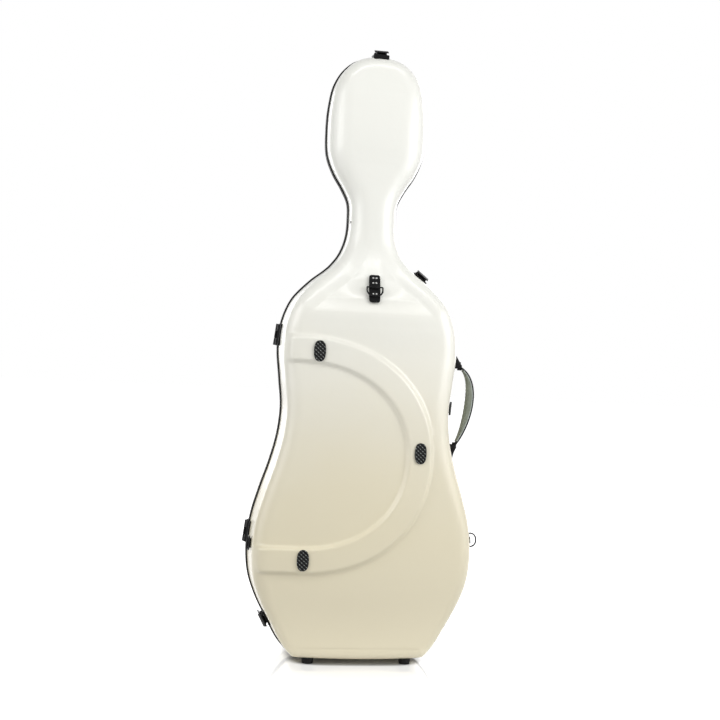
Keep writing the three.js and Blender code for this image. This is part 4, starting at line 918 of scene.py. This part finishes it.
def handle_pieces():
    """The band, a springy strip with rolled edges and turned ends, and the padded grip
    whose section is a rounded loaf, ribbed across where the fingers lie."""
    share = np.linspace(0.02, 0.98, 120)
    half = (12 + 15 * np.sqrt(np.sin(math.pi * share))) / 2
    lip = np.array([(1, 0.5), (0.96, 0.12), (0.9, 0), (-0.9, 0), (-0.96, 0.12), (-1, 0.5),
                    (-1, 2.5), (-0.96, 2.88), (-0.9, 3), (0.9, 3), (0.96, 2.88), (1, 2.5)])
    section = np.stack([half[:, None] * lip[:, 0], np.broadcast_to(lip[:, 1], (120, 12))], -1)
    forms = [closed_form(bow_strip(share, section))]
    point, _ = bow_curve([0.0, 1.0])
    axis = point[1] - point[0]
    axis /= np.linalg.norm(axis)
    for spot, way in ((point[1], 1), (point[0], -1)):
        boss = [(0, -9.3), (4.4, -9.3), (5, -8.7), (5, -0.9), (4.4, -0.3), (2.3, -0.3), (2.3, 8.6),
                (1.9, 9), (0, 9)]
        forms.append(lathed(boss, 28, pivot_frame(spot, way, axis)))
    build("carry_band", forms, TRIM, "handle", ("handle_band",), 40)

    share = np.linspace(GRIP_FROM, GRIP_TO, 160)
    local = (share - GRIP_FROM) / (GRIP_TO - GRIP_FROM)
    full = np.clip(np.sin(math.pi * local), 0, 1) ** 1.1
    half = 12.5 * (0.7 + 0.3 * full)
    deep = 12 * (0.12 + 0.88 * full)
    angle = np.linspace(0, math.pi, 25)
    loaf = np.stack([np.sign(np.cos(angle)) * np.abs(np.cos(angle)) ** 0.6,
                     np.sin(angle) ** 0.7], -1)
    loaf = np.vstack([loaf, [[-0.9, -0.0], [0.9, -0.0]]])
    rib = 1 - 0.05 * smooth(np.cos(2 * math.pi * local * GRIP_RIBS), 0.1, 0.9) * full
    inward = 4.2 + (deep * rib)[:, None] * loaf[:, 1]
    section = np.stack([half[:, None] * loaf[:, 0], inward], -1)
    build("carry_grip", [closed_form(bow_strip(share, section))], GRIP, "handle",
          ("handle_grip",), 50)
    # A pale welt laid along the grip's edge: its tone is a painted highlight
    welt = np.array([(1, 3.4), (0.97, 3.0), (-0.97, 3.0), (-1, 3.4), (-1, 4.4), (-0.97, 4.8),
                     (0.97, 4.8), (1, 4.4)])
    section = np.stack([(half + 0.7)[:, None] * welt[:, 0],
                        np.broadcast_to(welt[:, 1], (160, 8))], -1)
    build("grip_highlight_welt", [closed_form(bow_strip(share, section))], WELT_HIGHLIGHT, "handle", (), 50)
    for name, pivot, way in (("upper", point[1], 1), ("lower", point[0], -1)):
        mount_piece(name, pivot, way, axis)


def mount_piece(name, pivot, way, axis):
    """A slim wedge on the shell's wall that takes the band's pin: rings across the case,
    its width drawn in towards both faces, with a collar round the pin."""
    tall = 26.0 if way > 0 else 32.0
    z = pivot[1] + way * np.linspace(-5.5, tall, 32)
    seat = np.array([outline_at(v, 1)[0][0] for v in z]) + DRAFT * HANDLE_Y - 2.2
    share = np.clip((z - pivot[1]) * way / tall, 0, 1)
    back = np.clip((pivot[1] - z) * way / 6.0, 0, 1)
    face = seat + 3.2 + (pivot[0] + 3.6 - seat - 3.2) * (1 - share) ** 1.1 * (1 - 0.62 * back)
    loop = np.array([(0, -1), (0, 1), (0.6, 1), (0.86, 0.93), (1, 0.75), (1, -0.75), (0.86, -0.93),
                     (0.6, -1)])
    half = 13.6 - 4.0 * share[:, None]
    x = seat[:, None] + (face - seat)[:, None] * loop[:, 0]
    grid = np.stack([x, HANDLE_Y + half * loop[:, 1], np.broadcast_to(z[:, None], x.shape)], -1)
    ring = [(2.7, -0.1), (4.0, -0.1), (4.4, 0.5), (4.0, 2.4), (2.7, 2.4), (2.7, -0.1)]
    collar = lathed(ring, 28, pivot_frame(pivot, way, axis), False)
    build(f"{name}_handle_block", [closed_form(grid), collar], METAL, "back",
          (f"handle_{name}_mount",), 40)


# ---------------------------------------------------------------- padded bay

# Each pad's body, the way its open side faces along Y, its crown beyond the solid and the
# farthest that its skin moves as it fills, in millimetres, and how full it is
PADS = {
    "neck_cradle": ("padded_neck_cradle", "back", 1, 0.0, 4.0, 0.9),
    "upper_cushion_left": ("upper_pad_left", "back", 1, 2.5, 6.0, 0.8),
    "upper_cushion_right": ("upper_pad_right", "back", 1, 2.5, 6.0, 0.8),
    "lower_cushion_left": ("lower_pad_left", "back", 1, 2.5, 6.0, 0.8),
    "lower_cushion_right": ("lower_pad_right", "back", 1, 2.5, 6.0, 0.8),
    "end_block": ("padded_end_block", "back", 1, 1.5, 4.0, 0.9),
    "lid_pad": ("belly_pad", "lid", -1, 2.0, 1.6, 0.7),
    "bow_tip_pocket": ("bow_tip_pouch", "lid", -1, 0.5, 1.2, 0.8),
}
# Smaller faces and fewer easing rounds for the thin ones: rounds, millimetres
PAD_GRAIN = {"lid_pad": (6, 3.0), "bow_tip_pocket": (2, 1.5)}
PAD_INSET, PAD_STEPS, PAD_PRESSURE = 1.2, 20, 4.0


def points_of(mesh, kind="co"):
    """The points of a mesh, or their normals, as rows."""
    values = np.empty(len(mesh.vertices) * 3)
    mesh.vertices.foreach_get(kind, values)
    return values.reshape(-1, 3)


def set_points(mesh, spots):
    """Moves the points of a mesh to these places."""
    mesh.vertices.foreach_set("co", spots.ravel())
    mesh.update()


def applied(piece):
    """Makes what a piece's modifiers show into its mesh, and drops them."""
    graph = bpy.context.evaluated_depsgraph_get()
    mesh = bpy.data.meshes.new_from_object(piece.evaluated_get(graph))
    piece.modifiers.clear()
    piece.data = mesh
    return mesh


def pad_piece(node, name, body, rounds, voxel):
    """A pad before it is filled: the solid's skin evened to small faces, eased by moving
    each point towards the middle of its neighbours, so that edges roll over, and drawn in."""
    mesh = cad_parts[node].data.copy()
    mesh.name = name
    merged(mesh)
    piece = place(name, mesh, PADDING, body, (node,))
    remesh = piece.modifiers.new("even", "REMESH")
    remesh.mode, remesh.voxel_size = "VOXEL", voxel * MM
    bpy.context.view_layer.update()
    even = applied(piece)
    count = len(even.vertices)
    spots = points_of(even)
    edges = np.empty(len(even.edges) * 2, int)
    even.edges.foreach_get("vertices", edges)
    a, b = edges.reshape(-1, 2).T
    degree = np.bincount(np.concatenate([a, b]), minlength=count)[:, None]
    for _ in range(rounds):
        total = np.stack([np.bincount(a, spots[b, k], count) + np.bincount(b, spots[a, k], count)
                          for k in range(3)], -1)
        spots = spots + 0.5 * (total / np.maximum(degree, 1) - spots)
    set_points(even, spots)
    set_points(even, spots - points_of(even, "normal") * PAD_INSET * MM)
    even.materials.clear()
    even.materials.append(PADDING[0])
    cloth = piece.modifiers.new("fill", "CLOTH").settings
    cloth.use_pressure, cloth.uniform_pressure_force = True, PAD_PRESSURE
    cloth.effector_weights.gravity = 0
    return piece


def fill_pads():
    """Makes the pads, fills them by one run of the cloth simulation and keeps its result as
    their mesh. The skin stays in the pad's solid, but for the crown on its open side."""
    scene = bpy.context.scene
    pieces = {node: pad_piece(node, *pad[:2], *PAD_GRAIN.get(node, (10, 4.0)))
              for node, pad in PADS.items()}
    for step in range(1, PAD_STEPS + 1):
        scene.frame_set(step)
    graph = bpy.context.evaluated_depsgraph_get()
    filled = {node: points_of(piece.evaluated_get(graph).data) for node, piece in pieces.items()}
    for node, (_, _, facing, crown, farthest, fill) in PADS.items():
        piece = pieces[node]
        start = points_of(piece.data)
        move = filled[node] - start
        reach = np.maximum(np.linalg.norm(move, axis=1, keepdims=True), 1e-9)
        spots = start + move * np.minimum(1, farthest * MM / reach)
        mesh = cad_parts[node].data
        solid = BVHTree.FromPolygons([v.co for v in mesh.vertices],
                                     [tuple(face.vertices) for face in mesh.polygons])
        for index, spot in enumerate(spots):
            near, normal, _, _ = solid.find_nearest(Vector(spot))
            proud = (Vector(spot) - near).dot(normal) - crown * MM * max(0.0, normal.y * facing)
            if proud > 0:
                spots[index] -= np.array(normal) * proud
        piece.modifiers.clear()
        set_points(piece.data, spots)
        piece.modifiers.new("round", "SUBSURF").levels = 1
        applied(piece).shade_smooth()
    scene.frame_set(1)


def bay_pieces():
    """The cradle, cushions, end block, lid pad and bow pouches, and the neck strap."""
    fill_pads()
    for node, name, body in (("bow_clip_base", "bow_clip_blocks", "lid"),
                             ("left_bow_clip", "left_bow_button", "left_clip"),
                             ("right_bow_clip", "right_bow_button", "right_clip")):
        softened(node, name, TRIM, body, 0.8, 3)
    reach, low, crown, start, rows = 31, -14, 16, 922, 90
    x = np.linspace(-reach, reach, rows)
    rise = low + FIT + crown * (1 - (x / reach) ** 4) ** 2
    loop = np.array([(0, 0.4), (0.3, 0), (27.7, 0), (28, 0.4), (28, 2.0), (27.7, 2.4), (0.3, 2.4),
                     (0, 2.0)])
    grid = np.stack([np.broadcast_to(x[:, None], (rows, 8)), rise[:, None] + loop[:, 1],
                     np.broadcast_to(start + loop[:, 0], (rows, 8))], -1)
    strap = build("neck_strap_webbing", [closed_form(grid)], WEBBING, "back", ("neck_strap",), 40)


# ---------------------------------------------------------------- room, light and view

def stage_floor():
    """The white floor: matt, lifted to white for the camera except under the case, where the
    lift falls away as a painted shadow, and a little lower round it; with a gloss that fades out
    round it."""
    bpy.ops.mesh.primitive_plane_add(size=40, location=(0, 0, 0))
    floor = bpy.context.object
    floor.name = "floor"
    f = Finish("white_floor")
    matt = f.node("BsdfDiffuse", None, {"Color": (0.5, 0.5, 0.5, 1)})
    flat = [f.axis(letter) for letter in "XY"]
    # Painted shadow: the lift drops to almost nothing over the case's footprint
    away = (flat[0] * (1 / 0.15)) ** 4 + (flat[1] * (1 / 0.1)) ** 4
    lift_outside_painted_shadow = 0.02 + 0.98 * f.clamped(away, 0.6, 1.2)
    near = 1 - f.clamped(flat[0] ** 2 + flat[1] ** 2, 0.02, 0.16)
    glow = f.node("Emission", None, {"Color": (1, 1, 1, 1),
                                     "Strength": f.seen() * lift_outside_painted_shadow * (1.12 - 0.2 * near)})
    both = f.node("AddShader", None, {0: matt, 1: glow})
    shine = f.node("BsdfGlossy", None, {"Color": (1, 1, 1, 1), "Roughness": 0.05})
    f.end(f.node("MixShader", None, {0: near * 0.42, 1: both, 2: shine}))
    floor.data.materials.append(f.material)


def room():
    """White for the camera and in reflections, a plain soft grey as light."""
    f = Finish("room", world=True)
    bpy.context.scene.world = f.material
    light = f.node("Background", None, {"Color": (0.98, 0.99, 1.0, 1), "Strength": 0.16})
    white = f.node("Background", None, {"Color": (1, 1, 1, 1)})
    f.end(f.node("MixShader", None, {0: f.seen(), 1: light, 2: white}), "World")


def lamp(name, place_at, aim, size, power):
    """A square soft light that faces a point."""
    data = bpy.data.lights.new(name, "AREA")
    data.shape, data.size, data.size_y = "RECTANGLE", size[0], size[1]
    data.energy = power
    light = bpy.data.objects.new(name, data)
    light.location = place_at
    light.rotation_euler = (Vector(aim) - Vector(place_at)).to_track_quat("-Z", "Y").to_euler()
    bpy.context.scene.collection.objects.link(light)


def camera():
    """The photograph's view: level, 9 degrees towards the hinge side, rolled a little."""
    turn, roll = math.radians(9.0), math.radians(2.67)
    right = Vector((math.cos(turn), -math.sin(turn), 0))
    ahead = Vector((math.sin(turn), math.cos(turn), 0))
    up = Vector((0, 0, 1))
    axis_x = right * math.cos(roll) + up * math.sin(roll)
    axis_y = up * math.cos(roll) - right * math.sin(roll)
    spot = ahead * -2.6 + right * -0.0098 + up * 0.6474
    data = bpy.data.cameras.new("view")
    data.sensor_width, data.lens = 36.0, 59.09
    data.clip_end = 100
    eye = bpy.data.objects.new("view", data)
    turned_axes = Matrix((axis_x, axis_y, -ahead)).transposed().to_4x4()
    eye.matrix_world = Matrix.Translation(spot) @ turned_axes
    bpy.context.scene.collection.objects.link(eye)
    bpy.context.scene.camera = eye


camera()
shell_piece("back_shell_skin", -1, "back", "back_shell", 440, 130, crescent_rise)
shell_piece("lid_shell_skin", 1, "lid", "lid_shell", 300, 60)
lining_piece("back_tray", -1, "back", "back_lining")
lining_piece("lid_tray", 1, "lid", "lid_lining")
rim_pieces()
for end, x, z in (("upper", -113.5, 662.6), ("middle", 109.9, 455.5), ("lower", -130.3, 225.2)):
    rest_piece(f"{end}_rest", f"{end}_back_rest", x, z)
for body, y in (("back", -75.0), ("lid", 75.0)):
    for end, x in (("left", -105.0), ("right", 105.0)):
        foot_piece(f"{body}_{end}_rubber_foot", f"{body}_{end}_foot", body, x, y)
button = [(0, -2.0), (2.6, -2.0), (2.6, 1.2), (2.2, 1.9), (1.2, 2.2), (0, 2.2)]
button_frame = seat_frame(945.0, -1) @ moved(0, -30, -DRAFT * 30)
build("neck_button", [lathed(button, 24, button_frame)], STUD, "back", ("neck_stud",), 40)
for latch, (height, way) in LATCHES.items():
    latch_pieces(latch, height, way)
for end in ("upper", "lower"):
    for half in ("back", "lid"):
        softened(f"{end}_hinge_{half}_leaf", f"{end}_hinge_{half}_wing", METAL, half, 0.4)
ring_pieces()
handle_pieces()
bay_pieces()

stage_floor()
room()
lamp("right_key", (1.15, -1.0, 1.2), (0, 0, 0.75), (0.8, 1.1), 7)
lamp("right_side", (2.2, -0.9, 1.0), (0, 0, 0.65), (1.4, 2.0), 12.5)
lamp("right_front", (1.7, -1.9, 1.2), (0, 0, 0.75), (1.4, 1.4), 14)
lamp("left_side", (-2.3, -1.0, 1.1), (0, 0, 0.75), (1.8, 2.2), 18.5)
lamp("left_key", (-1.2, -1.1, 1.4), (0, 0, 0.95), (0.9, 1.0), 8)
lamp("strip_above", (0.1, -1.35, 2.5), (0, 0, 0.6), (1.8, 0.08), 10)
lamp("behind_right", (1.9, 2.4, 1.5), (0, 0, 0.6), (1.8, 1.8), 34)
lamp("behind_left", (-1.6, 2.6, 1.3), (0, 0, 0.6), (1.8, 1.8), 28)
scene = bpy.context.scene
scene.view_settings.view_transform = "Standard"
